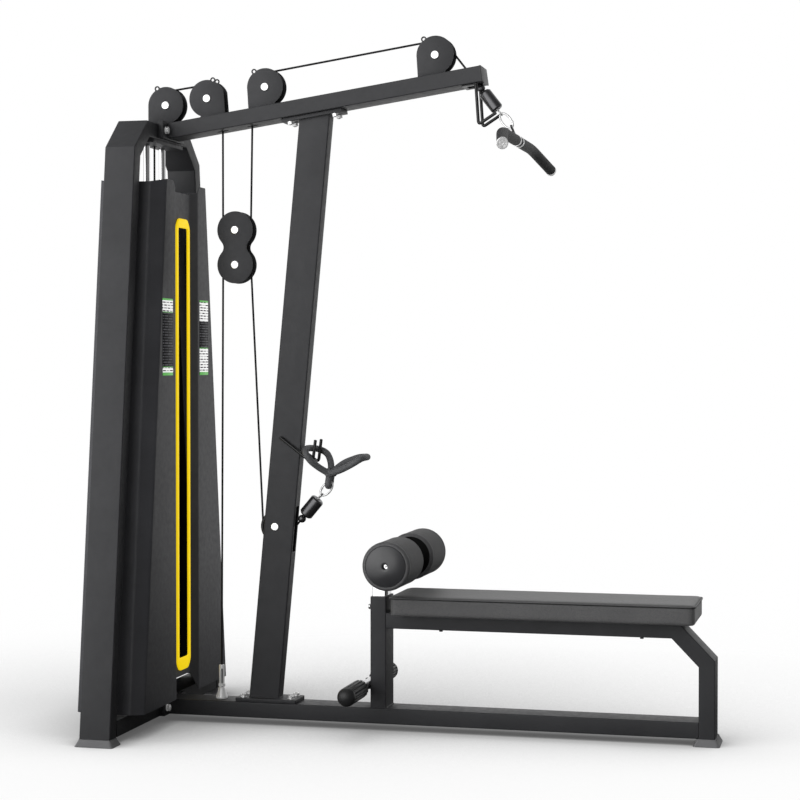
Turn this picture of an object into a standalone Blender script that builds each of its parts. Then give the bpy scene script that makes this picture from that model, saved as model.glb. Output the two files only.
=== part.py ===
"""Lat pulldown and low row machine with a shrouded weight stack.

One object for each sub-part, in metres, +Z up. The stack tower stands at -X, the bench
runs to +X, and the whole machine is symmetric about the plane Y = 0. The origin is on
the floor, at the middle of the machine's length.
"""

from math import atan2, cos, pi, radians, sin, sqrt

import bmesh
import bpy
from mathutils import Matrix, Vector

# Stock sizes
TUBE_WIDE = 0.100
TUBE_NARROW = 0.050
TUBE_WALL = 0.003
SHEET = 0.0025
PLATE_STEEL = 0.003
GAP = 0.0003
FOOT_HEIGHT = 0.0225
BASE_TOP = FOOT_HEIGHT + TUBE_NARROW

# Stack tower: an inverted U of tube whose columns lean inwards
TOWER_X = -0.8625
TOWER_FACE = TOWER_X + TUBE_WIDE / 2
TOWER_FOOT_Y = 0.5075
TOWER_SHOULDER = (0.2915, 1.8366)
TOWER_TOP = (0.1845, 1.9305)
TOWER_LEAN = (TOWER_FOOT_Y - TOWER_SHOULDER[0]) / (TOWER_SHOULDER[1] - FOOT_HEIGHT)

# Top beam, climbing away from the tower
BEAM_SLOPE = radians(8.18)
BEAM_REF = (-0.4771, 1.9831)
BEAM_START_X = -0.7962
BEAM_LENGTH = 1.0415
FLANGE_REACH = 0.095

# Upright between the base beam and the top beam
UPRIGHT_LEAN = 0.0875
UPRIGHT_REF = (-0.5175, 0.2544)
UPRIGHT_WIDTH = 0.1004
BASE_FLANGE = (-0.571, -0.367)
TOP_FLANGE = (-0.411, -0.197)
FLANGE_THICK = 0.012

# Pulleys: centre of the cable to the pulley's axis is GROOVE_R
GROOVE_R = 0.0473
GROOVE_BOTTOM = 0.0438
RIM_R = 0.0525
RIM_HALF = 0.011
PULLEY_BORE = 0.0066
AXLE_R = 0.0062
SHOULDER_R = 0.011
COVER_R = 0.0565
COVER_IN = 0.0185
COVER_OUT = COVER_IN + PLATE_STEEL
EAR_R = 0.0075
EAR_REACH = 0.0625
CABLE_R = 0.0027

FLOATER_X = -0.579
FLOATER_UPPER_Z = 1.591
FLOATER_LOWER_Z = 1.479
PULLEY_1 = (TOWER_X + GROOVE_R, 1.9981)
PULLEY_2 = (FLOATER_X - 2 * GROOVE_R, 2.0159)
PULLEY_3 = (-0.4771, 2.0464)
PULLEY_4 = (0.0823, 2.1270)
FLOATER_UPPER = (FLOATER_X, FLOATER_UPPER_Z)
FLOATER_LOWER = (FLOATER_X, FLOATER_LOWER_Z)
ROW_PULLEY = (-0.4438, 0.6367)
ANCHOR = (-0.6336, 0.1822)

# Cable ends: the stops stand off their last pulleys along the cable's exit direction
LAT_EXIT = radians(-52.1)
LAT_STOP_RUN = 0.172
ROW_EXIT = radians(50.0)
ROW_STOP_RUN = 0.0735

# Weight stack
PLATE_X = 0.080
PLATE_Y = 0.240
PLATE_THICK = 0.045
PLATE_PITCH = 0.0455
PLATE_COUNT = 17
STACK_BOTTOM = 0.1345
LOOSE_PLATES = 4
ROD_Y = 0.069
ROD_R = 0.011
ROD_HOLE_R = 0.0118
STEM_R = 0.010
STEM_HOLE_R = 0.0115
PIN_R = 0.0045
PIN_HOLE_R = 0.0052
HEAD_THICK = 0.035
ROD_TOP = 1.868

# Shrouds: a folded sheet that narrows upwards, mirrored behind the tower
SHROUD_FRONT = 0.1117
RECESS_FRONT = 0.0935
FLANK_FRONT = 0.0715
FLANK_BACK = 0.012
SHROUD_BOTTOM = 0.080
SHROUD_TOP = 1.745
RECESS_BOTTOM = 0.1416
RECESS_TOP = 1.7145
PANEL_INNER_Y = 0.104
RECESS_Y = 0.0665
SLOT_BOTTOM = 0.2025
SLOT_TOP = 1.6008
SLOT_HALF = 0.0345
FRAME_HALF = 0.0655
FRAME_RIM = 0.030

# Bench
BENCH_POST = (-0.1205, -0.0695)
BENCH_POST_TOP = 0.4348
RAIL_TOP = 0.3752
LEG_OUTER = 0.9595
RAIL_CORNER_X = 0.8486
LEG_CORNER_Z = 0.2606
PAD_X = (-0.036, 0.9077)
PAD_HALF = 0.132
PAD_TOP = 0.4383
ROLLER_AXLE = (-0.018, 0.543)
ROLLER_R = 0.075
ROLLER_Y = (0.064, 0.250)
ROLLER_END = 0.264
HEIGHT_PIN_Z = 0.3874
HEIGHT_STEP = 0.024
HEIGHT_HOLES = 5
FOOTREST_R = 0.016
FOOTREST = (BENCH_POST[0] - FOOTREST_R - 0.002, 0.1364)
FOOTREST_HALF = 0.276
GRIP_R = 0.0258
GRIP_START = 0.125

# Bars and handles
BAR_CENTRE = (0.3402, 1.8528)
BAR_BEND_Y = 0.250
BAR_END = (0.3761, 0.425, 1.7985)
BAR_R = 0.0170
HOOK_R = 0.005
HOOK_Y = 0.033
SWIVEL_R = 0.020
SWIVEL_HALF = 0.0355
ROW_SWIVEL_R = 0.021
ROW_SWIVEL_HALF = 0.033
STOP_R = 0.013
WIRE_R = 0.0032
EYE_R = 0.0092
EYE_WIRE_R = 0.0025
STRAP_R = 0.008

CHARCOAL = ((0.045, 0.046, 0.049), 0.45, 0.3)
SHROUD_GREY = ((0.060, 0.061, 0.066), 0.5, 0.2)
BLACK = ((0.012, 0.012, 0.013), 0.4, 0.2)
CHROME = ((0.75, 0.75, 0.76), 0.12, 1.0)
ALUMINIUM = ((0.70, 0.70, 0.71), 0.3, 1.0)
YELLOW = ((1.0, 0.66, 0.0), 0.35, 0.0)
RUBBER = ((0.020, 0.020, 0.021), 0.8, 0.0)
VINYL = ((0.070, 0.070, 0.072), 0.55, 0.0)
FOAM = ((0.050, 0.050, 0.052), 0.75, 0.0)
NYLON = ((0.030, 0.030, 0.031), 0.5, 0.0)
STRAP_GREY = ((0.090, 0.092, 0.095), 0.8, 0.0)
PLATE_IRON = ((0.030, 0.030, 0.031), 0.6, 0.6)


# ---------------------------------------------------------------- scene and materials

def collection(name):
    made = bpy.data.collections.new(name)
    bpy.context.scene.collection.children.link(made)
    return made


def material(name, finish):
    """A Principled BSDF of one colour; finish is (colour, roughness, metallic)."""
    made = bpy.data.materials.get(name)
    if made:
        return made
    colour, roughness, metallic = finish
    made = bpy.data.materials.new(name)
    made.use_nodes = True
    shader = made.node_tree.nodes["Principled BSDF"]
    shader.inputs["Base Color"].default_value = (*colour, 1)
    shader.inputs["Roughness"].default_value = roughness
    shader.inputs["Metallic"].default_value = metallic
    return made


for old in list(bpy.data.objects):
    bpy.data.objects.remove(old, do_unlink=True)
PARTS = collection("lat_pulldown_machine")
CUTTERS = collection("cutters")
FINISH_NAMES = {
    "charcoal": CHARCOAL, "shroud_grey": SHROUD_GREY, "black": BLACK, "chrome": CHROME,
    "aluminium": ALUMINIUM, "yellow": YELLOW, "rubber": RUBBER, "vinyl": VINYL, "foam": FOAM,
    "nylon": NYLON, "strap_grey": STRAP_GREY, "plate_iron": PLATE_IRON,
}


def adopt(obj, name, finish):
    """Name an object, put it in the parts collection and give it its material."""
    obj.name = name
    obj.data.name = name
    for holder in list(obj.users_collection):
        holder.objects.unlink(obj)
    PARTS.objects.link(obj)
    obj.data.materials.clear()
    obj.data.materials.append(material(finish, FINISH_NAMES[finish]))
    return obj


def as_tool(obj):
    """Keep an object only as the operand of another object's Boolean."""
    for holder in list(obj.users_collection):
        holder.objects.unlink(obj)
    CUTTERS.objects.link(obj)
    obj.hide_render = True
    obj.display_type = "WIRE"
    return obj


def combine(obj, tools, operation):
    for tool in tools:
        boolean = obj.modifiers.new(operation.lower(), "BOOLEAN")
        boolean.operation = operation
        boolean.solver = "EXACT"
        boolean.object = as_tool(tool)
    return obj


def cut(obj, *tools):
    return combine(obj, tools, "DIFFERENCE")


def join(obj, *tools):
    return combine(obj, tools, "UNION")


def set_origin(obj, point):
    """Move an object's origin to a point of its joint's axis, leaving its shape in place."""
    bpy.context.view_layer.update()
    local = obj.matrix_world.inverted() @ Vector(point)
    obj.data.transform(Matrix.Translation(-local))
    obj.matrix_world = obj.matrix_world @ Matrix.Translation(local)
    return obj


# ---------------------------------------------------------------- shapes

def box(low, high):
    size = [b - a for a, b in zip(low, high)]
    centre = [(a + b) / 2 for a, b in zip(low, high)]
    bpy.ops.mesh.primitive_cube_add(size=1, location=centre)
    made = bpy.context.object
    made.scale = size
    bpy.ops.object.transform_apply(location=False, rotation=False, scale=True)
    return made


def rod(start, end, radius, sides=16, end_radius=None):
    """A cylinder, or a cone, between two points."""
    start, end = Vector(start), Vector(end)
    run = end - start
    bpy.ops.mesh.primitive_cone_add(
        vertices=sides, radius1=radius, radius2=radius if end_radius is None else end_radius,
        depth=run.length, location=(start + end) / 2)
    made = bpy.context.object
    made.rotation_euler = run.to_track_quat("Z", "Y").to_euler()
    smooth(made)
    return made


def smooth(obj, angle=40):
    obj.data.shade_smooth()
    obj.data.set_sharp_from_angle(angle=radians(angle))
    return obj


def from_curve(obj):
    """A curve object's evaluated shape as a mesh object with its caps welded."""
    graph = bpy.context.evaluated_depsgraph_get()
    mesh = bpy.data.meshes.new_from_object(obj.evaluated_get(graph))
    shape = bmesh.new()
    shape.from_mesh(mesh)
    bmesh.ops.remove_doubles(shape, verts=shape.verts, dist=0.00005)
    bmesh.ops.recalc_face_normals(shape, faces=shape.faces)
    shape.to_mesh(mesh)
    shape.free()
    made = bpy.data.objects.new(obj.name, mesh)
    bpy.context.scene.collection.objects.link(made)
    made.matrix_world = obj.matrix_world
    bpy.data.objects.remove(obj, do_unlink=True)
    bpy.context.view_layer.update()
    return made


def flat(outlines, low, high, plane="XZ"):
    """Flat outlines, the first one solid and the rest holes, extruded from low to high.

    plane XZ extrudes along Y, YZ along X and XY along Z.
    """
    curve = bpy.data.curves.new("outline", "CURVE")
    curve.dimensions = "2D"
    curve.fill_mode = "BOTH"
    curve.extrude = (high - low) / 2
    for outline in outlines:
        spline = curve.splines.new("POLY")
        spline.points.add(len(outline) - 1)
        for point, (a, b) in zip(spline.points, outline):
            point.co = (a, b, 0, 1)
        spline.use_cyclic_u = True
    made = bpy.data.objects.new("outline", curve)
    bpy.context.scene.collection.objects.link(made)
    middle = (low + high) / 2
    if plane == "XZ":
        made.rotation_euler = (pi / 2, 0, 0)
        made.location = (0, middle, 0)
    elif plane == "YZ":
        made.rotation_euler = (pi / 2, 0, pi / 2)
        made.location = (middle, 0, 0)
    else:
        made.location = (0, 0, middle)
    bpy.context.view_layer.update()
    return from_curve(made)


def wire(points, radius, closed=False, resolution=2):
    """A round wire, tube or cable along a list of points."""
    curve = bpy.data.curves.new("wire", "CURVE")
    curve.dimensions = "3D"
    curve.bevel_depth = radius
    curve.bevel_resolution = resolution
    curve.use_fill_caps = not closed
    curve.render_resolution_u = 0
    spline = curve.splines.new("POLY")
    spline.points.add(len(points) - 1)
    for point, where in zip(spline.points, points):
        point.co = (*where, 1)
    spline.use_cyclic_u = closed
    made = bpy.data.objects.new("wire", curve)
    bpy.context.scene.collection.objects.link(made)
    bpy.context.view_layer.update()
    return smooth(from_curve(made), 60)


def turned(profile, centre, steps=16):
    """A closed profile of (radius, offset) points turned about a Y axis through centre."""
    mesh = bpy.data.meshes.new("turned")
    count = len(profile)
    ends = [(i, (i + 1) % count) for i in range(count)]
    ends = [(i, j) for i, j in ends if profile[i][0] > 0 or profile[j][0] > 0]
    mesh.from_pydata([(radius, 0, offset) for radius, offset in profile], ends, [])
    made = bpy.data.objects.new("turned", mesh)
    bpy.context.scene.collection.objects.link(made)
    screw = made.modifiers.new("turn", "SCREW")
    screw.steps = steps
    screw.render_steps = steps
    screw.use_merge_vertices = True
    screw.merge_threshold = 0.00005
    made.location = centre
    made.rotation_euler = (pi / 2, 0, 0)
    return made


def arc(centre, radius, start, end, step=radians(12)):
    """Points along an arc in a plane, from one angle to another."""
    count = max(1, round(abs(end - start) / step))
    angles = [start + (end - start) * i / count for i in range(count + 1)]
    return [(centre[0] + radius * cos(a), centre[1] + radius * sin(a)) for a in angles]


def softened(points, rounds=2):
    """A bent line with its corners cut, its ends kept."""
    line = [Vector(p) for p in points]
    for _ in range(rounds):
        cut_line = [line[0]]
        for i, (a, b) in enumerate(zip(line, line[1:])):
            if i > 0:
                cut_line.append(a.lerp(b, 0.25))
            if i < len(line) - 2:
                cut_line.append(a.lerp(b, 0.75))
        line = cut_line + [line[-1]]
    return [tuple(p) for p in line]


def turn_to(obj, point, direction):
    """Move a shape built round the origin along +Z so that +Z lies along a direction."""
    axis = Vector((direction[0], 0, direction[1]))
    turn = Vector((0, 0, 1)).rotation_difference(axis).to_matrix().to_4x4()
    place = Matrix.Translation((point[0], 0, point[1])) @ turn
    obj.data.transform(place @ obj.matrix_world)
    obj.matrix_world = Matrix.Identity(4)
    return obj


def offset_path(path, distance):
    """A bent line moved to its left by a distance, mitred at corners and level at its ends."""
    points = [Vector(p) for p in path]
    normals = []
    for a, b in zip(points, points[1:]):
        run = (b - a).normalized()
        normals.append(Vector((-run.y, run.x)))
    moved = []
    for i, point in enumerate(points):
        if i in (0, len(points) - 1):
            normal = normals[0 if i == 0 else -1]
            level = Vector((1, 0)) if abs(normal.x) > abs(normal.y) else Vector((0, 1))
            moved.append(point + level * (distance / normal.dot(level)))
        else:
            mitre = (normals[i - 1] + normals[i]).normalized()
            moved.append(point + mitre * (distance / mitre.dot(normals[i])))
    return [tuple(p) for p in moved]


def strip(path, near, far):
    """The outline between two offsets of a bent line."""
    return offset_path(path, near) + offset_path(path, far)[::-1]


def at_y(points, y=0.0):
    return [(x, y, z) for x, z in points]


def unit(angle):
    return Vector((cos(angle), sin(angle)))


# ---------------------------------------------------------------- cable geometry

def belt(stops):
    """Where a taut cable runs: one list of points for each pulley that it wraps.

    A stop is (x, z, turn), with turn +1 for a cable that goes round counterclockwise,
    -1 for clockwise and 0 for an end point. The first and last stops are end points.
    """
    headings = []
    for (ax, az, turn_a), (bx, bz, turn_b) in zip(stops, stops[1:]):
        dx, dz = bx - ax, bz - az
        sideways = GROOVE_R * (turn_b - turn_a)
        run = sqrt(dx * dx + dz * dz - sideways * sideways)
        headings.append(atan2(dz, dx) - atan2(sideways, run))
    wraps = []
    for (x, z, turn), arriving, leaving in zip(stops[1:-1], headings, headings[1:]):
        start = arriving - turn * pi / 2
        end = leaving - turn * pi / 2
        while turn * (end - start) < 0:
            end += turn * 2 * pi
        wraps.append(arc((x, z), GROOVE_R, start, end))
    return wraps


def clear_of(point, towards, distance=GAP):
    """A point moved a little way towards another."""
    a, b = Vector(point), Vector(towards)
    return tuple(a + (b - a).normalized() * distance)


def exit_point(pulley, heading, turn, run):
    """A point on a cable that leaves a pulley with a heading, run metres past it."""
    leave = Vector(pulley) + unit(heading - turn * pi / 2) * GROOVE_R
    return tuple(leave + unit(heading) * run)


LAT_STOP = exit_point(PULLEY_4, LAT_EXIT, -1, LAT_STOP_RUN)
ROW_STOP = exit_point(ROW_PULLEY, ROW_EXIT, 1, ROW_STOP_RUN)
HEAD_BOTTOM = STACK_BOTTOM + PLATE_COUNT * PLATE_PITCH
HEAD_TOP = HEAD_BOTTOM + HEAD_THICK
STACK_EYE = HEAD_TOP + 0.040
PIN_Z = HEAD_BOTTOM - PLATE_PITCH + PLATE_THICK / 2


def beam_point(along, above):
    """A point of the side view, from the beam's start along and above its top face."""
    start = (BEAM_START_X, BEAM_REF[1] + (BEAM_START_X - BEAM_REF[0]) * sin(BEAM_SLOPE) / cos(BEAM_SLOPE))
    u = unit(BEAM_SLOPE)
    return (start[0] + along * u.x - above * u.y, start[1] + along * u.y + above * u.x)


def beam_along(x):
    return (x - BEAM_START_X) / cos(BEAM_SLOPE)


def upright_left(z):
    return UPRIGHT_REF[0] + UPRIGHT_LEAN * (z - UPRIGHT_REF[1])


# ---------------------------------------------------------------- frame

def tower_frame():
    """Inverted U of hollow tube, open at its feet."""
    foot, shoulder, top = (TOWER_FOOT_Y, FOOT_HEIGHT), TOWER_SHOULDER, TOWER_TOP
    path = [(-foot[0], foot[1]), (-shoulder[0], shoulder[1]), (-top[0], top[1]),
            top, shoulder, foot]
    frame = flat([strip(path, 0, -TUBE_NARROW)], TOWER_X - TUBE_WIDE / 2, TOWER_FACE, "YZ")
    drop = 0.010
    deeper = [(-foot[0] - drop * TOWER_LEAN, foot[1] - drop)] + path[1:-1]
    deeper.append((foot[0] + drop * TOWER_LEAN, foot[1] - drop))
    hollow = flat([strip(deeper, -TUBE_WALL, TUBE_WALL - TUBE_NARROW)],
                  TOWER_X - TUBE_WIDE / 2 + TUBE_WALL, TOWER_FACE - TUBE_WALL, "YZ")
    cable_hole = rod((TOWER_X, 0, 1.85), (TOWER_X, 0, 1.96), 0.010, 12)
    cut(frame, hollow, cable_hole)
    adopt(frame, "tower_frame", "charcoal")


def tower_base_bar():
    """Tube across the tower's feet that carries the guide rods and the stack."""
    half = TOWER_FOOT_Y - (BASE_TOP - FOOT_HEIGHT) * TOWER_LEAN - TUBE_NARROW - 0.0012
    bar = box((TOWER_X - TUBE_WIDE / 2, -half, FOOT_HEIGHT), (TOWER_FACE, half, BASE_TOP))
    hollow = box((TOWER_X - TUBE_WIDE / 2 + TUBE_WALL, -1, FOOT_HEIGHT + TUBE_WALL),
                 (TOWER_FACE - TUBE_WALL, 1, BASE_TOP - TUBE_WALL))
    cut(bar, hollow)
    adopt(bar, "tower_base_bar", "charcoal")


def base_beam():
    """Long floor beam with the flange that bolts it to the tower."""
    start = BEAM_START_X
    end = LEG_OUTER - TUBE_NARROW - GAP
    half = TUBE_WIDE / 2
    beam = box((start, -half, FOOT_HEIGHT), (end, half, BASE_TOP))
    flange = box((TOWER_FACE + GAP, -FLANGE_REACH, FOOT_HEIGHT), (start + 0.001, FLANGE_REACH, BASE_TOP))
    join(beam, flange)
    hollow = box((start - 1, TUBE_WALL - half, FOOT_HEIGHT + TUBE_WALL),
                 (end - TUBE_WALL, half - TUBE_WALL, BASE_TOP - TUBE_WALL))
    cut(beam, hollow)
    adopt(beam, "base_beam", "charcoal")


def upright():
    """Leaning tube between two flanges, slotted for the row pulley on its axle."""
    half = TUBE_NARROW / 2
    low = BASE_TOP + GAP
    foot = flat([[(BASE_FLANGE[0], low), (BASE_FLANGE[1], low),
                  (BASE_FLANGE[1], low + FLANGE_THICK), (BASE_FLANGE[0], low + FLANGE_THICK)]],
                -TUBE_WIDE / 2, TUBE_WIDE / 2)
    head_top = -TUBE_NARROW - GAP
    head_low = head_top - FLANGE_THICK
    along = [beam_along(x) for x in TOP_FLANGE]
    head = flat([[beam_point(along[0], head_low), beam_point(along[1], head_low),
                  beam_point(along[1], head_top), beam_point(along[0], head_top)]],
                -TUBE_WIDE / 2, TUBE_WIDE / 2)
    reach = 1.94

    def outline(inset, bottom, top_inset):
        left_low = upright_left(bottom) + inset
        right_low = left_low + UPRIGHT_WIDTH - 2 * inset
        corners = [(left_low, bottom), (right_low, bottom)]
        for side in (UPRIGHT_WIDTH - inset, inset):
            x = upright_left(reach) + side
            corners.append(beam_point(beam_along(x), head_low + 0.002 - top_inset))
        return corners

    tube = flat([outline(0, low + 0.002, 0)], -half, half)
    hollow = flat([outline(TUBE_WALL, low - 0.01, 0.004)], TUBE_WALL - half, half - TUBE_WALL)
    x, z = ROW_PULLEY
    slot = box((x - 0.12, -0.015, z - 0.066), (x + 0.005, 0.015, z + 0.075))
    front_slot = box((x, -0.015, z - 0.080), (x + 0.12, 0.015, z + 0.066))
    axle = rod((x, -half + 0.001, z), (x, half - 0.001, z), AXLE_R, 12)
    near = rod((x, -half + 0.001, z), (x, -RIM_HALF - 0.0008, z), SHOULDER_R, 12)
    far = rod((x, RIM_HALF + 0.0008, z), (x, half - 0.001, z), SHOULDER_R, 12)
    join(tube, foot, head)
    cut(tube, hollow, slot, front_slot)
    join(tube, axle, near, far)
    adopt(tube, "upright", "charcoal")


def top_beam():
    """Sloping hollow beam with its tower flange and the slots that the cable passes."""
    half = TUBE_WIDE / 2
    corners = [beam_point(0, 0), beam_point(BEAM_LENGTH, 0), beam_point(BEAM_LENGTH, -TUBE_NARROW)]
    foot_x, foot_z = beam_point(0, 0)
    corners.append((foot_x, foot_z - TUBE_NARROW / cos(BEAM_SLOPE)))
    beam = flat([corners], -half, half)
    bore = [beam_point(-0.05, -TUBE_WALL), beam_point(BEAM_LENGTH + 0.05, -TUBE_WALL),
            beam_point(BEAM_LENGTH + 0.05, TUBE_WALL - TUBE_NARROW),
            beam_point(-0.05, TUBE_WALL - TUBE_NARROW)]
    hollow = flat([bore], TUBE_WALL - half, half - TUBE_WALL)
    cut(beam, hollow)
    flange = box((TOWER_FACE + GAP, -FLANGE_REACH, 1.884), (foot_x + 0.001, FLANGE_REACH, 1.940))
    join(beam, flange)
    for x in (PULLEY_2[0] + GROOVE_R, PULLEY_3[0] - GROOVE_R):
        cut(beam, box((x - 0.018, -0.008, 1.85), (x + 0.018, 0.008, 2.10)))
    tangent = Vector(exit_point(PULLEY_4, LAT_EXIT, -1, 0.128))
    along = unit(LAT_EXIT) * 0.07
    across = unit(LAT_EXIT + pi / 2) * 0.014
    slot = [tangent - along - across, tangent + along - across,
            tangent + along + across, tangent - along + across]
    cut(beam, flat([[tuple(p) for p in slot]], -0.010, 0.010))
    adopt(beam, "top_beam", "charcoal")


def foot(name, low, high, flare):
    """Rubber shoe that spreads outwards to the floor."""
    mesh = box((*low, 0.0), (*high, FOOT_HEIGHT - GAP))
    for vertex in mesh.data.vertices:
        if vertex.co.z < 0:
            vertex.co.x += flare if vertex.co.x > 0 else -flare
            vertex.co.y += flare if vertex.co.y > 0 else -flare
    adopt(mesh, name, "rubber")


def feet():
    wide = TUBE_WIDE / 2 + 0.002
    flare = 0.010
    for name, side in (("foot_near", -1), ("foot_far", 1)):
        edges = sorted((side * (TOWER_FOOT_Y - TUBE_NARROW - 0.003), side * (TOWER_FOOT_Y + 0.002)))
        foot(name, (TOWER_X - wide, edges[0]), (TOWER_X + wide, edges[1]), flare)
    reach = TOWER_X * -1 + SHROUD_FRONT
    foot("foot_bench", (LEG_OUTER - TUBE_NARROW - 0.006, -wide),
         (reach - flare, wide), flare)


# ---------------------------------------------------------------- pulleys and cables

def pulley(name, centre):
    """Grooved nylon wheel, turning about its own origin."""
    x, z = centre
    lip = RIM_HALF - 0.002
    profile = [(RIM_R, lip), (GROOVE_BOTTOM, 0.0035), (GROOVE_BOTTOM, -0.0035), (RIM_R, -lip),
               (RIM_R - 0.004, -RIM_HALF), (PULLEY_BORE, -RIM_HALF), (PULLEY_BORE, RIM_HALF),
               (RIM_R - 0.004, RIM_HALF)]
    adopt(turned(profile, (x, 0, z)), name, "nylon")


def covers(outline, ears, axles):
    """Two like side plates joined by their axles and by a keeper pin at each ear."""
    holder = flat([outline], -COVER_OUT, -COVER_IN)
    join(holder, flat([outline], COVER_IN, COVER_OUT))
    middle = (COVER_IN + COVER_OUT) / 2
    for x, z in ears:
        for side in (-1, 1):
            join(holder, rod((x, side * (COVER_IN + 0.0002), z), (x, side * (COVER_OUT - 0.0002), z), EAR_R, 12))
        join(holder, rod((x, -middle, z), (x, middle, z), 0.003, 8))
    for x, z in axles:
        join(holder, rod((x, -middle, z), (x, middle, z), AXLE_R, 12))
        for side in (-1, 1):
            join(holder, rod((x, side * (RIM_HALF + 0.0008), z), (x, side * middle, z), SHOULDER_R, 12))
    return holder


def pulley_bracket(name, centre, ear_angle, foot_side):
    """Teardrop covers standing on the beam, or on the tower for the first pulley."""
    x, z = centre
    ear = tuple(Vector(centre) + unit(radians(ear_angle)) * EAR_REACH)
    if name == "pulley_bracket_1":
        floor = TOWER_TOP[1] + GAP
        feet_line = [(TOWER_FACE - 0.001, floor), (x - COVER_R, floor)]
        rim = arc(centre, COVER_R, radians(-88), radians(180), radians(13))
    else:
        along = beam_along(x)
        feet_line = [beam_point(along - foot_side * 0.030, GAP), beam_point(along + foot_side * 0.0525, GAP)]
        start = BEAM_SLOPE - pi / 2 - foot_side * radians(28)
        end = BEAM_SLOPE + (0 if foot_side > 0 else pi)
        if foot_side > 0:
            end -= 2 * pi
        rim = arc(centre, COVER_R, start, end, radians(13))
    holder = covers(rim + feet_line[::-1], [ear], [centre])
    adopt(holder, name, "charcoal")


def floater():
    """Figure-of-eight plates that hold two pulleys between the upper and lower cables."""
    mid = (FLOATER_UPPER_Z + FLOATER_LOWER_Z) / 2
    half = (FLOATER_UPPER_Z - FLOATER_LOWER_Z) / 2
    neck_half = 0.039
    neck_r = (half * half + neck_half ** 2 - COVER_R ** 2) / (2 * (COVER_R - neck_half))
    spread = atan2(half, neck_half + neck_r)
    outline = arc(FLOATER_UPPER, COVER_R, -spread, pi + spread, radians(15))
    outline += arc((FLOATER_X - neck_half - neck_r, mid), neck_r, spread, -spread, radians(22))[1:-1]
    outline += arc(FLOATER_LOWER, COVER_R, pi - spread, 2 * pi + spread, radians(15))
    outline += arc((FLOATER_X + neck_half + neck_r, mid), neck_r, pi + spread, pi - spread, radians(22))[1:-1]
    holder = covers(outline, [], [FLOATER_UPPER, FLOATER_LOWER])
    adopt(holder, "floater_bracket", "charcoal")


def cables():
    """The upper cable from stack to lat bar and the lower one from anchor to row handle."""
    upper = belt([(TOWER_X, STACK_EYE, 0), (*PULLEY_1, -1), (*PULLEY_2, -1), (*FLOATER_UPPER, 1),
                  (*PULLEY_3, -1), (*PULLEY_4, -1), (*LAT_STOP, 0)])
    lower = belt([(*ANCHOR, 0), (*FLOATER_LOWER, -1), (*ROW_PULLEY, 1), (*ROW_STOP, 0)])
    lift = wire(at_y([(TOWER_X, STACK_EYE + GAP), clear_of(upper[0][0], (TOWER_X, STACK_EYE))]), CABLE_R)
    adopt(lift, "stack_cable", "nylon")
    adopt(wire(at_y(sum(upper, [])), CABLE_R, resolution=1), "upper_cable", "nylon")
    stop_gap = STOP_R + GAP
    lat = [clear_of(upper[-1][-1], LAT_STOP), clear_of(LAT_STOP, upper[-1][-1], stop_gap)]
    adopt(wire(at_y(lat), CABLE_R), "lat_cable", "nylon")
    start = clear_of(ANCHOR, lower[0][0])
    adopt(wire(at_y([start] + sum(lower, [])), CABLE_R, resolution=1), "lower_cable", "nylon")
    row = [clear_of(lower[-1][-1], ROW_STOP), clear_of(ROW_STOP, lower[-1][-1], stop_gap)]
    lead = set_origin(wire(at_y(row), CABLE_R), (ROW_PULLEY[0], 0, ROW_PULLEY[1]))
    adopt(lead, "row_cable", "nylon")


def cable_anchor():
    """Conical base on the floor beam with the adjusting screw of the lower cable."""
    x, top = ANCHOR
    base = Vector((x, 0, BASE_TOP + GAP))
    anchor = rod(base, base + Vector((0, 0, 0.034)), 0.019, 16, 0.009)
    join(anchor, rod(base + Vector((0, 0, 0.030)), (x, 0, top), 0.0085, 12))
    adopt(anchor, "cable_anchor", "aluminium")


# ---------------------------------------------------------------- weight stack

def upright_bore(y, radius, bottom, top):
    return rod((TOWER_X, y, bottom - 0.01), (TOWER_X, y, top + 0.01), radius, 16)


def rod_bores(bottom, top):
    """Cutters for the two guide rods."""
    return [upright_bore(y, ROD_HOLE_R, bottom, top) for y in (-ROD_Y, ROD_Y)]


def stack_bores(bottom, top):
    """Cutters for the two guide rods and the stem."""
    return rod_bores(bottom, top) + [upright_bore(0, STEM_HOLE_R, bottom, top)]


def pin_bore(z):
    return rod((TOWER_X, 0, z), (TOWER_X + 0.1, 0, z), PIN_HOLE_R, 8)


def plate_block(bottom, top):
    return box((TOWER_X - PLATE_X / 2, -PLATE_Y / 2, bottom), (TOWER_X + PLATE_X / 2, PLATE_Y / 2, top))


def weight_stack():
    for i in range(LOOSE_PLATES):
        bottom = HEAD_BOTTOM - (i + 1) * PLATE_PITCH
        plate = plate_block(bottom, bottom + PLATE_THICK)
        cut(plate, *stack_bores(bottom, bottom + PLATE_THICK), pin_bore(bottom + PLATE_THICK / 2))
        adopt(plate, f"weight_plate_{i + 1}", "plate_iron")
    count = PLATE_COUNT - LOOSE_PLATES
    top = STACK_BOTTOM + (count - 1) * PLATE_PITCH + PLATE_THICK
    block = plate_block(STACK_BOTTOM, top)
    groove = 0.0015
    for i in range(1, count):
        z = STACK_BOTTOM + i * PLATE_PITCH
        ring = box((TOWER_X - 0.1, -0.2, z - groove), (TOWER_X + 0.1, 0.2, z))
        core = plate_block(z - 0.01, z + 0.01)
        core.scale = (0.95, 0.98, 1)
        cut(ring, core)
        cut(block, ring)
    cut(block, *stack_bores(STACK_BOTTOM, top))
    adopt(block, "resting_plates", "plate_iron")


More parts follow.
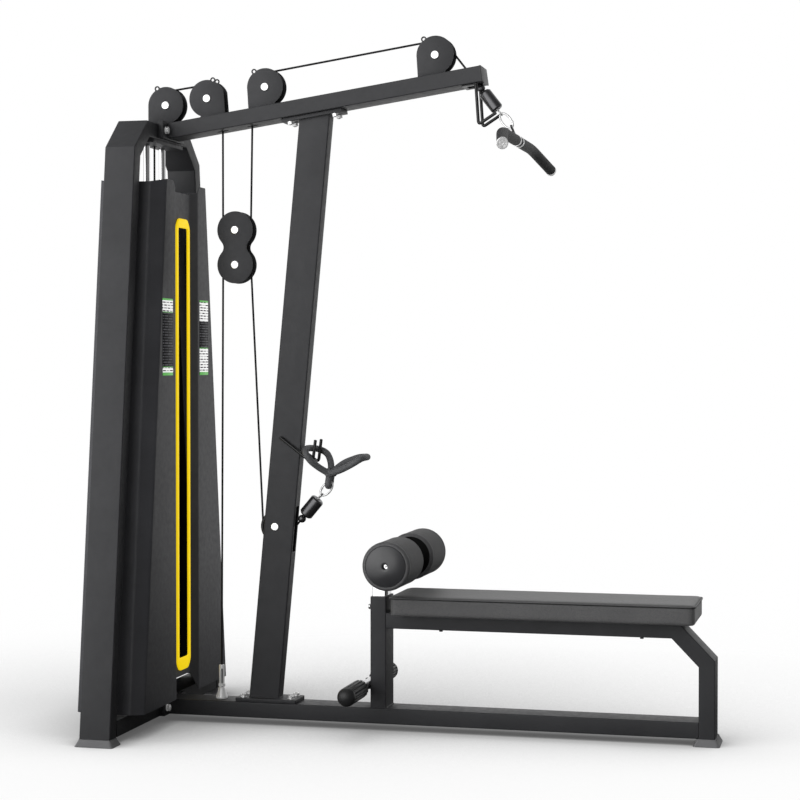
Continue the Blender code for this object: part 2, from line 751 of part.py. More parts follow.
def stack_head():
    """Top plate with the stem that the selector pin locks a plate to."""
    head = plate_block(HEAD_BOTTOM, HEAD_TOP)
    cut(head, *rod_bores(HEAD_BOTTOM, HEAD_TOP))
    stem = rod((TOWER_X, 0, STACK_BOTTOM + 0.01), (TOWER_X, 0, STACK_EYE), STEM_R, 16)
    join(head, stem)
    cut(head, rod((TOWER_X - 0.03, 0, PIN_Z), (TOWER_X + 0.03, 0, PIN_Z), PIN_HOLE_R, 8))
    adopt(head, "stack_head", "plate_iron")


def selector_pin():
    front = TOWER_X + PLATE_X / 2
    pin = rod((TOWER_X - 0.009, 0, PIN_Z), (front + 0.012, 0, PIN_Z), PIN_R, 12)
    join(pin, rod((front + 0.004, 0, PIN_Z), (front + 0.034, 0, PIN_Z), 0.012, 16))
    adopt(pin, "selector_pin", "chrome")


def guides():
    for name, y in (("guide_rod_near", -ROD_Y), ("guide_rod_far", ROD_Y)):
        adopt(rod((TOWER_X, y, BASE_TOP + GAP), (TOWER_X, y, ROD_TOP), ROD_R, 20), name, "chrome")
    cushion = box((TOWER_X - 0.030, -0.100, BASE_TOP + GAP), (TOWER_X + 0.030, 0.100, STACK_BOTTOM - GAP))
    cut(cushion, *stack_bores(BASE_TOP, STACK_BOTTOM))
    adopt(cushion, "stack_cushion", "rubber")
    bar = box((TOWER_X - 0.030, -0.130, ROD_TOP + GAP),
              (TOWER_FACE, 0.130, TOWER_TOP[1] - TUBE_NARROW - GAP))
    cut(bar, rod((TOWER_X, 0, ROD_TOP - 0.02), (TOWER_X, 0, TOWER_TOP[1]), 0.010, 12))
    adopt(bar, "rod_top_plate", "charcoal")


# ---------------------------------------------------------------- shrouds

def panel_y(z):
    """Half width of the front panel at a height."""
    return 0.3882 - 0.120 * z


def flank_y(z):
    """Half width between the shroud's flanks at a height."""
    return 0.4085 - 0.1095 * z


def shroud(name, side):
    """Folded sheet from flank to flank with a recess for the selector slot.

    side is 1 in front of the tower and -1 behind it. Only the front one has the slot.
    """
    folds = [(FLANK_BACK, flank_y, SHROUD_BOTTOM, SHROUD_TOP - 0.010),
             (FLANK_FRONT, flank_y, SHROUD_BOTTOM, SHROUD_TOP - 0.010),
             (SHROUD_FRONT, panel_y, SHROUD_BOTTOM, SHROUD_TOP),
             (SHROUD_FRONT, lambda z: PANEL_INNER_Y, SHROUD_BOTTOM, SHROUD_TOP),
             (RECESS_FRONT, lambda z: RECESS_Y, RECESS_BOTTOM, RECESS_TOP)]
    shape = bmesh.new()
    rows = []
    for mirror in (-1, 1):
        for reach, width, low, high in (folds if mirror < 0 else folds[::-1]):
            rows.append([shape.verts.new((TOWER_X + side * reach, mirror * width(z), z)) for z in (low, high)])
    for a, b in zip(rows, rows[1:]):
        shape.faces.new((a[0], b[0], b[1], a[1]) if side > 0 else (a[1], b[1], b[0], a[0]))
    mesh = bpy.data.meshes.new(name)
    shape.to_mesh(mesh)
    shape.free()
    made = bpy.data.objects.new(name, mesh)
    bpy.context.scene.collection.objects.link(made)
    thicken = made.modifiers.new("sheet", "SOLIDIFY")
    thicken.thickness = SHEET
    thicken.offset = -1
    thicken.use_even_offset = True
    if side > 0:
        recess = TOWER_X + RECESS_FRONT
        cut(made, box((recess - 0.02, -SLOT_HALF - 0.004, SLOT_BOTTOM - 0.004),
                      (recess + 0.02, SLOT_HALF + 0.004, SLOT_TOP + 0.004)))
    adopt(made, name, "shroud_grey")


def slot_frame():
    """Yellow rim round the selector slot, with chamfered ends."""
    low, high = SLOT_BOTTOM - 0.0405, SLOT_TOP + FRAME_RIM
    inset, rise = 0.022, 0.026
    half = FRAME_HALF - 0.001
    outer = [(-half, low + rise), (-half + inset, low), (half - inset, low), (half, low + rise),
             (half, high - rise), (half - inset, high), (-half + inset, high), (-half, high - rise)]
    hole = [(-SLOT_HALF, SLOT_BOTTOM), (-SLOT_HALF, SLOT_TOP), (SLOT_HALF, SLOT_TOP), (SLOT_HALF, SLOT_BOTTOM)]
    back = TOWER_X + RECESS_FRONT + GAP
    rim = flat([outer, hole], back, back + 0.006, "YZ")
    adopt(rim, "slot_frame", "yellow")


# ---------------------------------------------------------------- bench

def bench_post():
    """Upright sleeve of the bench, open at the top for the roller post."""
    half = TUBE_WIDE / 2
    low, high = BASE_TOP + GAP, BENCH_POST_TOP
    post = box((BENCH_POST[0], -half, low), (BENCH_POST[1], half, high))
    bore = box((BENCH_POST[0] + TUBE_WALL, TUBE_WALL - half, low - 1),
               (BENCH_POST[1] - TUBE_WALL, half - TUBE_WALL, high + 1))
    pin_hole = rod((BENCH_POST[0] - 0.01, 0, HEIGHT_PIN_Z), (BENCH_POST[0] + 0.01, 0, HEIGHT_PIN_Z), 0.0065, 12)
    cut(post, bore, pin_hole)
    adopt(post, "bench_post", "charcoal")


def bench_frame():
    """Seat rail that bends down into the rear leg."""
    start = BENCH_POST[1] + GAP
    path = [(start, RAIL_TOP), (RAIL_CORNER_X, RAIL_TOP), (LEG_OUTER, LEG_CORNER_Z),
            (LEG_OUTER, FOOT_HEIGHT)]
    half = TUBE_WIDE / 2
    frame = flat([strip(path, 0, -TUBE_NARROW)], -half, half)
    longer = [(start - 0.01, RAIL_TOP)] + path[1:-1] + [(LEG_OUTER, FOOT_HEIGHT - 0.01)]
    cut(frame, flat([strip(longer, -TUBE_WALL, TUBE_WALL - TUBE_NARROW)], TUBE_WALL - half, half - TUBE_WALL))
    adopt(frame, "bench_frame", "charcoal")


def roller_post():
    """Chromed post that slides in the bench sleeve and carries the roller axle."""
    x, z = ROLLER_AXLE
    half = 0.0385
    left, right = BENCH_POST[0] + TUBE_WALL + 0.0008, BENCH_POST[1] - TUBE_WALL - 0.0008
    post = box((left, -half, 0.275), (right, half, 0.505))
    lowest = HEIGHT_PIN_Z - HEIGHT_STEP * (HEIGHT_HOLES - 1)
    cut(post, box((left - 0.01, -0.0065, lowest - 0.0065), (left + 0.003, 0.0065, HEIGHT_PIN_Z + 0.0065)))
    for i in range(HEIGHT_HOLES):
        hole_z = HEIGHT_PIN_Z - HEIGHT_STEP * i
        cut(post, rod((left - 0.01, 0, hole_z), (left + 0.012, 0, hole_z), 0.0058, 12))
    arm = flat([[(left, 0.470), (right, 0.470), (x + 0.018, z - 0.020), (x + 0.018, z + 0.016),
                 (x - 0.014, z + 0.022), (left, 0.530)]], -0.028, 0.028)
    join(post, arm, rod((x, -ROLLER_END + 0.006, z), (x, ROLLER_END - 0.006, z), 0.0125, 16))
    adopt(post, "roller_post", "chrome")


def rollers():
    """Foam thigh rollers with domed end caps, each turning on the shared axle."""
    x, z = ROLLER_AXLE
    inner, outer = ROLLER_Y
    for name, side in (("roller_near", -1), ("roller_far", 1)):
        bore = 0.0131
        dome = [(0.0715, inner + 0.006), (ROLLER_R, inner + 0.010), (ROLLER_R, outer - 0.004), (0.0715, outer),
                (0.056, outer + 0.002), (0.036, outer + 0.009), (bore, outer + 0.0135), (bore, inner), (0.066, inner)]
        profile = [(r, -side * y) for r, y in dome]
        if side < 0:
            profile.reverse()
        adopt(turned(profile, (x, 0, z), steps=24), name, "foam")


def height_pin():
    """Sprung pin that locks the roller post."""
    face = BENCH_POST[0]
    tip = face + TUBE_WALL + 0.0008 + 0.0025
    pin = rod((face - 0.016, 0, HEIGHT_PIN_Z), (tip, 0, HEIGHT_PIN_Z), 0.0055, 12)
    join(pin, rod((face - 0.026, 0, HEIGHT_PIN_Z), (face - 0.014, 0, HEIGHT_PIN_Z), 0.010, 16))
    adopt(pin, "height_pin", "chrome")


def seat_pad():
    """Long upholstered bench pad."""
    pad = box((PAD_X[0], -PAD_HALF, RAIL_TOP + GAP), (PAD_X[1], PAD_HALF, PAD_TOP))
    bevel = pad.modifiers.new("soft edges", "BEVEL")
    bevel.width = 0.012
    bevel.segments = 2
    adopt(pad, "seat_pad", "vinyl")


def footrest():
    x, z = FOOTREST
    adopt(rod((x, -FOOTREST_HALF + 0.008, z), (x, FOOTREST_HALF - 0.008, z), FOOTREST_R, 16), "footrest_bar", "chrome")
    start, end = GRIP_START, FOOTREST_HALF - 0.016
    for name, side in (("footrest_grip_near", -1), ("footrest_grip_far", 1)):
        bore = FOOTREST_R + GAP
        dome = [(GRIP_R, start), (GRIP_R, end), (GRIP_R * 0.86, end + 0.008), (GRIP_R * 0.45, end + 0.0145),
                (0.0, FOOTREST_HALF), (0.0, end + 0.009), (bore, end + 0.009), (bore, start)]
        profile = [(r, -side * y) for r, y in dome]
        if side < 0:
            profile.reverse()
        adopt(turned(profile, (x, 0, z)), name, "rubber")


# ---------------------------------------------------------------- hooks, bars and handles

def bar_hooks():
    """Two bent rods under the beam's end that catch the bar's swivel, on one plate."""
    start = beam_along(0.2078)
    rest = [(0.2240, 1.9038), (0.2782, 1.9380)]
    plate_top, plate_low = -TUBE_NARROW - GAP, -TUBE_NARROW - 0.0045
    ends = (start - 0.045, start + 0.006)
    plate = [beam_point(ends[0], plate_low), beam_point(ends[1], plate_low),
             beam_point(ends[1], plate_top), beam_point(ends[0], plate_top)]
    hooks = flat([plate], -HOOK_Y - 0.008, HOOK_Y + 0.008)
    notch = beam_point(ends[0] + 0.015, plate_low)
    cut(hooks, box((notch[0], -0.018, notch[1] - 0.02), (notch[0] + 0.06, 0.018, notch[1] + 0.03)))
    for side in (-1, 1):
        join(hooks, wire(at_y([beam_point(start, plate_low + 0.002)] + rest, side * HOOK_Y), HOOK_R))
    adopt(hooks, "bar_hooks", "black")


def handle_hooks():
    """Rods along both sides of the upright that hold the row handle, joined by a cross bar."""
    points = [(-0.4224, 0.9239), (-0.3260, 0.8459), (-0.3058, 0.9154)]
    y = 0.0325
    hooks = wire(at_y(points, -y), HOOK_R)
    far = wire(at_y(points, y), HOOK_R)
    cross = [(points[1][0] - 0.004, side * y, points[1][1] + 0.004) for side in (-1, 1)]
    join(hooks, far, rod(cross[0], cross[1], 0.004, 8))
    adopt(hooks, "handle_hooks", "black")


def ring(centre, radius, plane_angle, wire_radius, stretch=1.0, across=False, count=16):
    """A closed wire loop; its long axis lies at plane_angle in the side view.

    It lies in the side view's plane, or across it when across is set.
    """
    u, v = unit(plane_angle), unit(plane_angle + pi / 2)
    points = []
    for i in range(count):
        a = 2 * pi * i / count
        long, short = radius * stretch * cos(a), radius * sin(a)
        x = centre[0] + u.x * long + (0 if across else v.x * short)
        z = centre[1] + u.y * long + (0 if across else v.y * short)
        points.append((x, short if across else 0.0, z))
    return wire(points, wire_radius, closed=True, resolution=1)


def swivel_set(prefix, stop, heading, radius, half, clip_long):
    """Swivel with its stop ball, turning eye and carabiner on a cable's end.

    Gives the middle of the eye's far wire, round which the carabiner tilts, and the far end
    of the carabiner.
    """
    d = unit(heading)
    stop = Vector(stop)

    def point(run):
        p = stop + d * run
        return (p.x, 0, p.y)

    body_start = STOP_R + 0.002
    body_end = body_start + 2 * half
    bpy.ops.mesh.primitive_uv_sphere_add(segments=14, ring_count=8, radius=STOP_R, location=point(0))
    ball = smooth(bpy.context.object)
    neck = rod(point(0.004), point(body_start + 0.004), 0.006, 10)
    body = rod(point(body_start), point(body_end), radius, 20)
    join(body, neck, ball)
    cut(body, rod(point(body_end - 0.012), point(body_end + 0.01), 0.0070, 12))
    adopt(set_origin(body, point(body_start)), f"{prefix}_swivel", "black")
    eye_centre = stop + d * (body_end + 0.0140)
    eye = ring(eye_centre, EYE_R, heading, EYE_WIRE_R, across=True, count=14)
    join(eye, rod(point(body_end - 0.0110), point(body_end + 0.0040), 0.0045, 10),
         rod(point(body_end - 0.0112), point(body_end - 0.0080), 0.0062, 12))
    adopt(set_origin(eye, (eye_centre.x, 0, eye_centre.y)), f"{prefix}_eye", "chrome")
    hinge = eye_centre + d * EYE_R
    tilt_axis = (hinge.x, 0, hinge.y)
    clip_centre = hinge + d * (clip_long - EYE_WIRE_R - WIRE_R - GAP)
    clip = ring(clip_centre, 0.0155, heading, WIRE_R, stretch=clip_long / 0.0155, count=18)
    adopt(set_origin(clip, tilt_axis), f"{prefix}_carabiner", "chrome")
    return tilt_axis, clip_centre + d * clip_long


def lat_bar(tilt_axis, clip_end):
    """Bent bar in rubber sleeves, hung by a welded lug from the carabiner."""
    cx, cz = BAR_CENTRE
    ex, ey, ez = BAR_END
    path = [(ex, -ey, ez), (cx, -BAR_BEND_Y, cz), (cx, BAR_BEND_Y, cz), (ex, ey, ez)]
    bar = wire(path, BAR_R, resolution=4)
    up = Vector(clip_end) - Vector(BAR_CENTRE)
    eye, half = 0.0080, 0.0125
    hole = up.length - (eye - WIRE_R - 0.0020)
    outline = [(-half, 0.0), (-half, hole)] + arc((0, hole), half, pi, 0, radians(30))[1:] + [(half, 0.0)]
    lug = flat([outline, arc((0, hole), eye, 0, 2 * pi - radians(30), radians(30))], -0.0022, 0.0022, "YZ")
    join(bar, turn_to(lug, BAR_CENTRE, up.normalized()))
    adopt(set_origin(bar, tilt_axis), "lat_bar", "black")


def row_strap(tilt_axis, clip_end):
    """Webbing handle: a small loop on the carabiner, a knot and two hand loops."""
    knot = Vector((-0.2654, 0.8090))

    def loop(tip, shape):
        """Half of a loop given as (share of the way to the tip, y), mirrored about Y = 0."""
        run = Vector(tip) - knot
        side = [(*(knot + run * share), y) for share, y in shape]
        line = [(x, -y, z) for x, z, y in side] + [(x, y, z) for x, z, y in side[::-1]]
        return wire(softened(line, 1), STRAP_R, resolution=1)

    bpy.ops.mesh.primitive_uv_sphere_add(segments=12, ring_count=8, radius=1, location=(knot.x, 0, knot.y))
    strap = bpy.context.object
    strap.scale = (0.0155, 0.024, 0.0155)
    bpy.ops.object.transform_apply(location=False, rotation=False, scale=True)
    smooth(strap)
    hold = Vector(clip_end) - unit(ROW_EXIT) * (WIRE_R + STRAP_R + GAP)
    join(strap, loop(hold, [(0.0, 0.0125), (0.6, 0.0135), (1.0, 0.0135)]),
         loop((-0.345, 0.893), [(0.0, 0.0105), (0.35, 0.034), (0.68, 0.058), (1.0, 0.060), (1.0, 0.025)]),
         loop((-0.1480, 0.864), [(0.0, 0.0105), (0.35, 0.030), (0.75, 0.048), (1.0, 0.045), (1.0, 0.020)]))
    adopt(set_origin(strap, tilt_axis), "row_strap", "strap_grey")


def main():
    tower_frame()
    tower_base_bar()
    base_beam()
    upright()
    top_beam()
    feet()
    centres = {"1": PULLEY_1, "2": PULLEY_2, "3": PULLEY_3, "4": PULLEY_4}
    for number, centre in centres.items():
        pulley(f"pulley_{number}", centre)
    pulley_bracket("pulley_bracket_1", PULLEY_1, 118, -1)
    pulley_bracket("pulley_bracket_2", PULLEY_2, 70, 1)
    pulley_bracket("pulley_bracket_3", PULLEY_3, 118, -1)
    pulley_bracket("pulley_bracket_4", PULLEY_4, 118, -1)
    floater()
    pulley("floater_pulley_upper", FLOATER_UPPER)
    pulley("floater_pulley_lower", FLOATER_LOWER)
    pulley("row_pulley", ROW_PULLEY)
    cables()
    cable_anchor()
    weight_stack()
    stack_head()
    selector_pin()
    guides()
    shroud("front_shroud", 1)
    shroud("rear_shroud", -1)
    slot_frame()
    bench_post()
    bench_frame()
    roller_post()
    rollers()
    height_pin()
    seat_pad()
    footrest()
    bar_hooks()
    handle_hooks()
    lat_bar(*swivel_set("lat", LAT_STOP, LAT_EXIT, SWIVEL_R, SWIVEL_HALF, 0.028))
    row_strap(*swivel_set("row", ROW_STOP, ROW_EXIT, ROW_SWIVEL_R, ROW_SWIVEL_HALF, 0.026))


main()
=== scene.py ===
"""Looks for the lat pulldown and low row machine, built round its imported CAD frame."""

from math import acos, atan2, cos, pi, radians, sin, sqrt, tan

import bmesh
import bpy
from mathutils import Matrix, Vector


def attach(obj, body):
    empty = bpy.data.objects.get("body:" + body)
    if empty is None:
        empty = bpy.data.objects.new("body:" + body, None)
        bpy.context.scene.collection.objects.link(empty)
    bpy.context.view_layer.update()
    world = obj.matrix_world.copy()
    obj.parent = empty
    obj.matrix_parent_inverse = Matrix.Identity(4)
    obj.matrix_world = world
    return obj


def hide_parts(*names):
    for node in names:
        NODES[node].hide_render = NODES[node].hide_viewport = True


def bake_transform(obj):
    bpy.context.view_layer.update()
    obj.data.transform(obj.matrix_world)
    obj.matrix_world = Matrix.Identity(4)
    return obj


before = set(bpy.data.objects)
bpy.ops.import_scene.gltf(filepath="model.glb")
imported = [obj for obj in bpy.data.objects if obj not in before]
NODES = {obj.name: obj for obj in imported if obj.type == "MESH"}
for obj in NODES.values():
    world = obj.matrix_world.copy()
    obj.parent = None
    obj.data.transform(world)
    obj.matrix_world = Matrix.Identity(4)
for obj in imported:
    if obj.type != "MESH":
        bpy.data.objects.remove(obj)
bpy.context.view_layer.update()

# ---------------------------------------------------------------- sizes
# In metres. Places in the side view are (x, z). They lie within about a centimetre of the CAD's.
TUBE_WIDE = 0.100
TUBE_NARROW = 0.050
TUBE_WALL = 0.003
CORNER_R = 0.0040
GAP = 0.0003
FOOT_HEIGHT = 0.0225
BASE_TOP = 0.0725
TOWER_X = -0.8625
TOWER_BACK = TOWER_X - TUBE_WIDE / 2
TOWER_FACE = TOWER_X + TUBE_WIDE / 2
TOWER_PATH = [(0.5075, FOOT_HEIGHT), (0.2915, 1.8366), (0.1845, 1.9305)]
BEAM_SLOPE = radians(8.18)
BEAM_REF = (-0.4771, 1.9831)
BEAM_START_X = -0.7962
BEAM_LENGTH = 1.0370
FLANGE_REACH = 0.095
FLANGE_FACE = BEAM_START_X + 0.001
FLANGE_THICK = 0.012
FLANGE_EASE = 0.0015
TOP_FLANGE_Z = (1.884, 1.940)
FLANGE_BOLT_Y = 0.0735
FLANGE_BOLT_Z = (0.0475, 1.911)
FLANGE_BOLT = 0.0115
FOOT_BOLT = 0.0105
UPRIGHT_LEAN = 0.0875
UPRIGHT_REF = (-0.5175, 0.2544)
UPRIGHT_WIDTH = 0.1004
BASE_FLANGE = (-0.571, -0.367)
TOP_FLANGE = (-0.425, -0.226)
GROOVE_R = 0.0473
GROOVE_BOTTOM = 0.0438
RIM_R = 0.0525
RIM_HALF = 0.011
AXLE_R = 0.0062
COVER_R = 0.0600
COVER_IN = 0.0185
COVER_OUT = 0.0215
EAR_R = 0.0090
EAR_REACH = 0.0620
SPACER_R = 0.011
CABLE_R = 0.0033
CABLE_HOLE_R = 0.010
FLOATER_X = -0.579
FLOATER_UPPER = (FLOATER_X, 1.591)
FLOATER_LOWER = (FLOATER_X, 1.479)
PULLEY_1 = (-0.8152, 1.9981)
PULLEY_2 = (-0.6736, 2.0159)
PULLEY_3 = (-0.4771, 2.0464)
PULLEY_4 = (0.0823, 2.1270)
ROW_PULLEY = (-0.4438, 0.6367)
ANCHOR = (-0.6336, 0.1822)
LAT_EXIT = radians(-52.1)
LAT_STOP_RUN = 0.172
ROW_EXIT = radians(50.0)
ROW_STOP_RUN = 0.0735
STACK_EYE = 0.983
PIN_Z = 0.885
ROD_Y = 0.069
ROD_R = 0.011
ROD_TOP = 1.868
SHEET = 0.0025
# Half width at the floor and how much of it is lost per metre of height
PANEL_HALF = (0.3882, 0.120)
FLANK_HALF = (0.4085, 0.1095)
SHROUD_FRONT = 0.1117
RECESS_FRONT = 0.0935
FLANK_FRONT = 0.0715
FLANK_BACK = 0.012
SHROUD_BOTTOM = 0.080
SHROUD_TOP = 1.745
RECESS_BOTTOM = 0.1416
RECESS_TOP = 1.7145
PANEL_INNER_Y = 0.104
RECESS_Y = 0.0665
SLOT_BOTTOM = 0.2025
SLOT_TOP = 1.6008
SLOT_HALF = 0.0345
BENCH_POST = (-0.1205, -0.0695)
BENCH_POST_TOP = 0.4235
RAIL_TOP = 0.3752
LEG_OUTER = 0.9595
RAIL_CORNER_X = 0.8486
LEG_CORNER_Z = 0.2606
PAD_X = (-0.041, 0.9077)
PAD_HALF = 0.132
PAD_TOP = 0.4383
PAD_CORNER = 0.021
ROLLER_AXLE = (-0.018, 0.543)
ROLLER_Y = (0.064, 0.250)
ROLLER_BORE = 0.0131
ROLLER_POST_Z = (0.275, 0.505)
ROLLER_POST_HALF = 0.0385
AXLE_BAR_R = 0.0125
HEIGHT_PIN_Z = 0.3874
HEIGHT_STEP = 0.024
HEIGHT_HOLES = 5
FOOTREST_R = 0.016
FOOTREST = (BENCH_POST[0] - FOOTREST_R - 0.002, 0.1414)
FOOTREST_HALF = 0.276
GRIP_R = 0.0290
GRIP_START = 0.112
BAR_CENTRE = (0.3402, 1.8528)
BAR_BEND_Y = 0.250
BAR_END = (0.3761, 0.425, 1.7985)
BAR_R = 0.0170
RING_Y = (0.0185, 0.0265)
HOOK_R = 0.005
BAR_HOOK = [(0.2240, 1.9038), (0.2782, 1.9380)]
BAR_HOOK_X = 0.2078
BAR_HOOK_Y = 0.033
HANDLE_HOOK = [(-0.4224, 0.9239), (-0.3150, 0.8430), (-0.3058, 0.9154)]
HANDLE_HOOK_Y = 0.0325
STOP_R = 0.013
WIRE_R = 0.0032
CLIP_HALF = 0.0140
EYE_R = 0.0092
EYE_WIRE_R = 0.0025
STRAP_R = 0.0106
KNOT = (-0.2654, 0.8090)
KNOT_R = 0.0125
KNOT_WIRE_R = 0.0062
HELD_TIP = (-0.3400, 0.889)
FREE_TIP = (-0.1500, 0.862)

MERGE = 0.00002
SIDES = (("near", -1), ("far", 1))
LEVEL = Vector((1, 0))
PLUMB = Vector((0, 1))


# ---------------------------------------------------------------- plane geometry
def unit(angle):
    return Vector((cos(angle), sin(angle)))


def arc(centre, radius, start, end, step=radians(5)):
    count = max(2, round(abs(end - start) / step))
    angles = [start + (end - start) * i / count for i in range(count + 1)]
    return [(centre[0] + radius * cos(a), centre[1] + radius * sin(a)) for a in angles]


def circle(centre, radius, count=32):
    return arc(centre, radius, 0, 2 * pi * (count - 1) / count, 2 * pi / count)


def rounded(points, radius, steps=4, closed=True):
    """A line or outline, in two or three dimensions, with its corners rounded off."""
    line = [Vector(p) for p in points]
    made = []
    for i, point in enumerate(line):
        if not closed and i in (0, len(line) - 1):
            made.append(tuple(point))
            continue
        back, ahead = line[i - 1] - point, line[(i + 1) % len(line)] - point
        reach = min(radius, 0.46 * back.length, 0.46 * ahead.length)
        a, b = point + back.normalized() * reach, point + ahead.normalized() * reach
        for k in range(steps + 1):
            t = k / steps
            made.append(tuple(a.lerp(point, t).lerp(point.lerp(b, t), t)))
    return made


def rectangle(x0, x1, y0, y1, radius, steps=4):
    """A rounded rectangle as an outline."""
    return rounded([(x0, y0), (x1, y0), (x1, y1), (x0, y1)], radius, steps)


def offset_path(path, distance, cuts):
    """A bent line moved to its left, mitred at corners; cuts are the directions of its end faces."""
    points = [Vector(p) for p in path]
    runs = [(b - a).normalized() for a, b in zip(points, points[1:])]
    normals = [Vector((-run.y, run.x)) for run in runs]
    moved = []
    for i, point in enumerate(points):
        if 0 < i < len(points) - 1:
            direction = (normals[i - 1] + normals[i]).normalized()
            normal = normals[i]
        else:
            normal = normals[0 if i == 0 else -1]
            direction = cuts[0 if i == 0 else 1] or normal
        moved.append(point + direction * (distance / direction.dot(normal)))
    return moved


def beam_point(along, above):
    """A point of the side view, from the beam's start along and above its top face."""
    start = Vector((BEAM_START_X, BEAM_REF[1] + (BEAM_START_X - BEAM_REF[0]) * tan(BEAM_SLOPE)))
    return tuple(start + unit(BEAM_SLOPE) * along + unit(BEAM_SLOPE + pi / 2) * above)


def beam_along(x):
    return (x - BEAM_START_X) / cos(BEAM_SLOPE)


def upright_left(z):
    return UPRIGHT_REF[0] + UPRIGHT_LEAN * (z - UPRIGHT_REF[1])


def exit_point(pulley, heading, turn, run):
    """A point on a cable that leaves a pulley with a heading, run metres past it."""
    leave = Vector(pulley) + unit(heading - turn * pi / 2) * GROOVE_R
    return leave + unit(heading) * run


LAT_STOP = exit_point(PULLEY_4, LAT_EXIT, -1, LAT_STOP_RUN)
ROW_STOP = exit_point(ROW_PULLEY, ROW_EXIT, 1, ROW_STOP_RUN)


def belt(stops):
    """The start and end angle of a taut cable's wrap on each pulley between its two end points."""
    headings = []
    for (ax, az, turn_a), (bx, bz, turn_b) in zip(stops, stops[1:]):
        dx, dz = bx - ax, bz - az
        sideways = GROOVE_R * (turn_b - turn_a)
        run = sqrt(dx * dx + dz * dz - sideways * sideways)
        headings.append(atan2(dz, dx) - atan2(sideways, run))
    wraps = []
    for (x, z, turn), arriving, leaving in zip(stops[1:-1], headings, headings[1:]):
        start = arriving - turn * pi / 2
        end = leaving - turn * pi / 2
        while turn * (end - start) < 0:
            end += turn * 2 * pi
        wraps.append(((x, z), start, end))
    return wraps


# ---------------------------------------------------------------- meshes
def link(data):
    made = bpy.data.objects.new("piece", data)
    bpy.context.scene.collection.objects.link(made)
    return made


def mesh_object(verts, faces):
    mesh = bpy.data.meshes.new("piece")
    mesh.from_pydata([tuple(v) for v in verts], [], faces)
    shape = bmesh.new()
    shape.from_mesh(mesh)
    bmesh.ops.recalc_face_normals(shape, faces=shape.faces)
    shape.to_mesh(mesh)
    shape.free()
    return link(mesh)


def baked(obj, weld=0.0):
    """The object as it shows, modifiers and place included, as a plain mesh."""
    bpy.context.view_layer.update()
    graph = bpy.context.evaluated_depsgraph_get()
    mesh = bpy.data.meshes.new_from_object(obj.evaluated_get(graph))
    mesh.transform(obj.matrix_world)
    shape = bmesh.new()
    shape.from_mesh(mesh)
    if weld:
        bmesh.ops.remove_doubles(shape, verts=shape.verts, dist=weld)
        bmesh.ops.recalc_face_normals(shape, faces=shape.faces)
    shape.to_mesh(mesh)
    shape.free()
    bpy.data.objects.remove(obj, do_unlink=True)
    return link(mesh)


def shaded(obj, angle=32):
    obj.data.shade_smooth()
    obj.data.set_sharp_from_angle(angle=radians(angle))
    return obj


def merged(objs):
    """Several objects as one mesh."""
    shape = bmesh.new()
    for obj in objs:
        bpy.context.view_layer.update()
        obj.data.transform(obj.matrix_world)
        shape.from_mesh(obj.data)
    mesh = bpy.data.meshes.new("piece")
    shape.to_mesh(mesh)
    shape.free()
    for obj in objs:
        bpy.data.objects.remove(obj, do_unlink=True)
    return link(mesh)


def cut(obj, *tools):
    """The object less the tools, which are used up."""
    for tool in tools:
        boolean = obj.modifiers.new("cut", "BOOLEAN")
        boolean.solver = "EXACT"
        boolean.object = tool
    made = baked(obj)
    for tool in tools:
        bpy.data.objects.remove(tool, do_unlink=True)
    return made


def bevelled(obj, width, segments=3, angle=30):
    bevel = obj.modifiers.new("edges", "BEVEL")
    bevel.width = width
    bevel.segments = segments
    bevel.limit_method = "ANGLE"
    bevel.angle_limit = radians(angle)
    return baked(obj)


def block(low, high, radius=0.0):
    corners = [(x, y, z) for x in (low[0], high[0]) for y in (low[1], high[1]) for z in (low[2], high[2])]
    faces = [(0, 1, 3, 2), (4, 6, 7, 5), (0, 4, 5, 1), (2, 3, 7, 6), (0, 2, 6, 4), (1, 5, 7, 3)]
    made = mesh_object(corners, faces)
    return bevelled(made, radius) if radius else made


def plate(outlines, low, high, plane="XZ", bevel=0.0006):
    """Flat outlines, the first solid and the rest holes, extruded with eased edges."""
    curve = bpy.data.curves.new("plate", "CURVE")
    curve.dimensions = "2D"
    curve.fill_mode = "BOTH"
    curve.extrude = (high - low) / 2 - bevel
    curve.bevel_depth = bevel
    curve.bevel_resolution = 1
    curve.offset = -bevel
    for outline in outlines:
        spline = curve.splines.new("POLY")
        spline.points.add(len(outline) - 1)
        for point, (a, b) in zip(spline.points, outline):
            point.co = (a, b, 0, 1)
        spline.use_cyclic_u = True
    made = link(curve)
    middle = (low + high) / 2
    if plane == "XZ":
        made.rotation_euler = (pi / 2, 0, 0)
        made.location = (0, middle, 0)
    elif plane == "YZ":
        made.rotation_euler = (pi / 2, 0, pi / 2)
        made.location = (middle, 0, 0)
    else:
        made.location = (0, 0, middle)
    return shaded(baked(made, weld=MERGE), 25)


def lathe(profile, centre=(0, 0, 0), axis=(0, 1, 0), steps=64, closed=True, turn=0.0):
    """A profile of (radius, offset) points turned about an axis through centre."""
    centre = Vector(centre)
    spin = Vector((0, 0, 1)).rotation_difference(Vector(axis).normalized()).to_matrix()
    verts, rings = [], []
    for radius, offset in profile:
        ring = []
        for k in range(steps if radius > 1e-6 else 1):
            a = 2 * pi * k / steps + turn
            ring.append(len(verts))
            verts.append(centre + spin @ Vector((radius * cos(a), radius * sin(a), offset)))
        rings.append(ring)
    faces = []
    pairs = list(zip(rings, rings[1:])) + ([(rings[-1], rings[0])] if closed else [])
    for a, b in pairs:
        if len(a) == len(b) == 1:
            continue
        for k in range(steps):
            n = (k + 1) % steps
            face = [a[k % len(a)], a[n % len(a)], b[n % len(b)], b[k % len(b)]]
            faces.append([v for i, v in enumerate(face) if v not in face[:i]])
    return shaded(mesh_object(verts, faces))


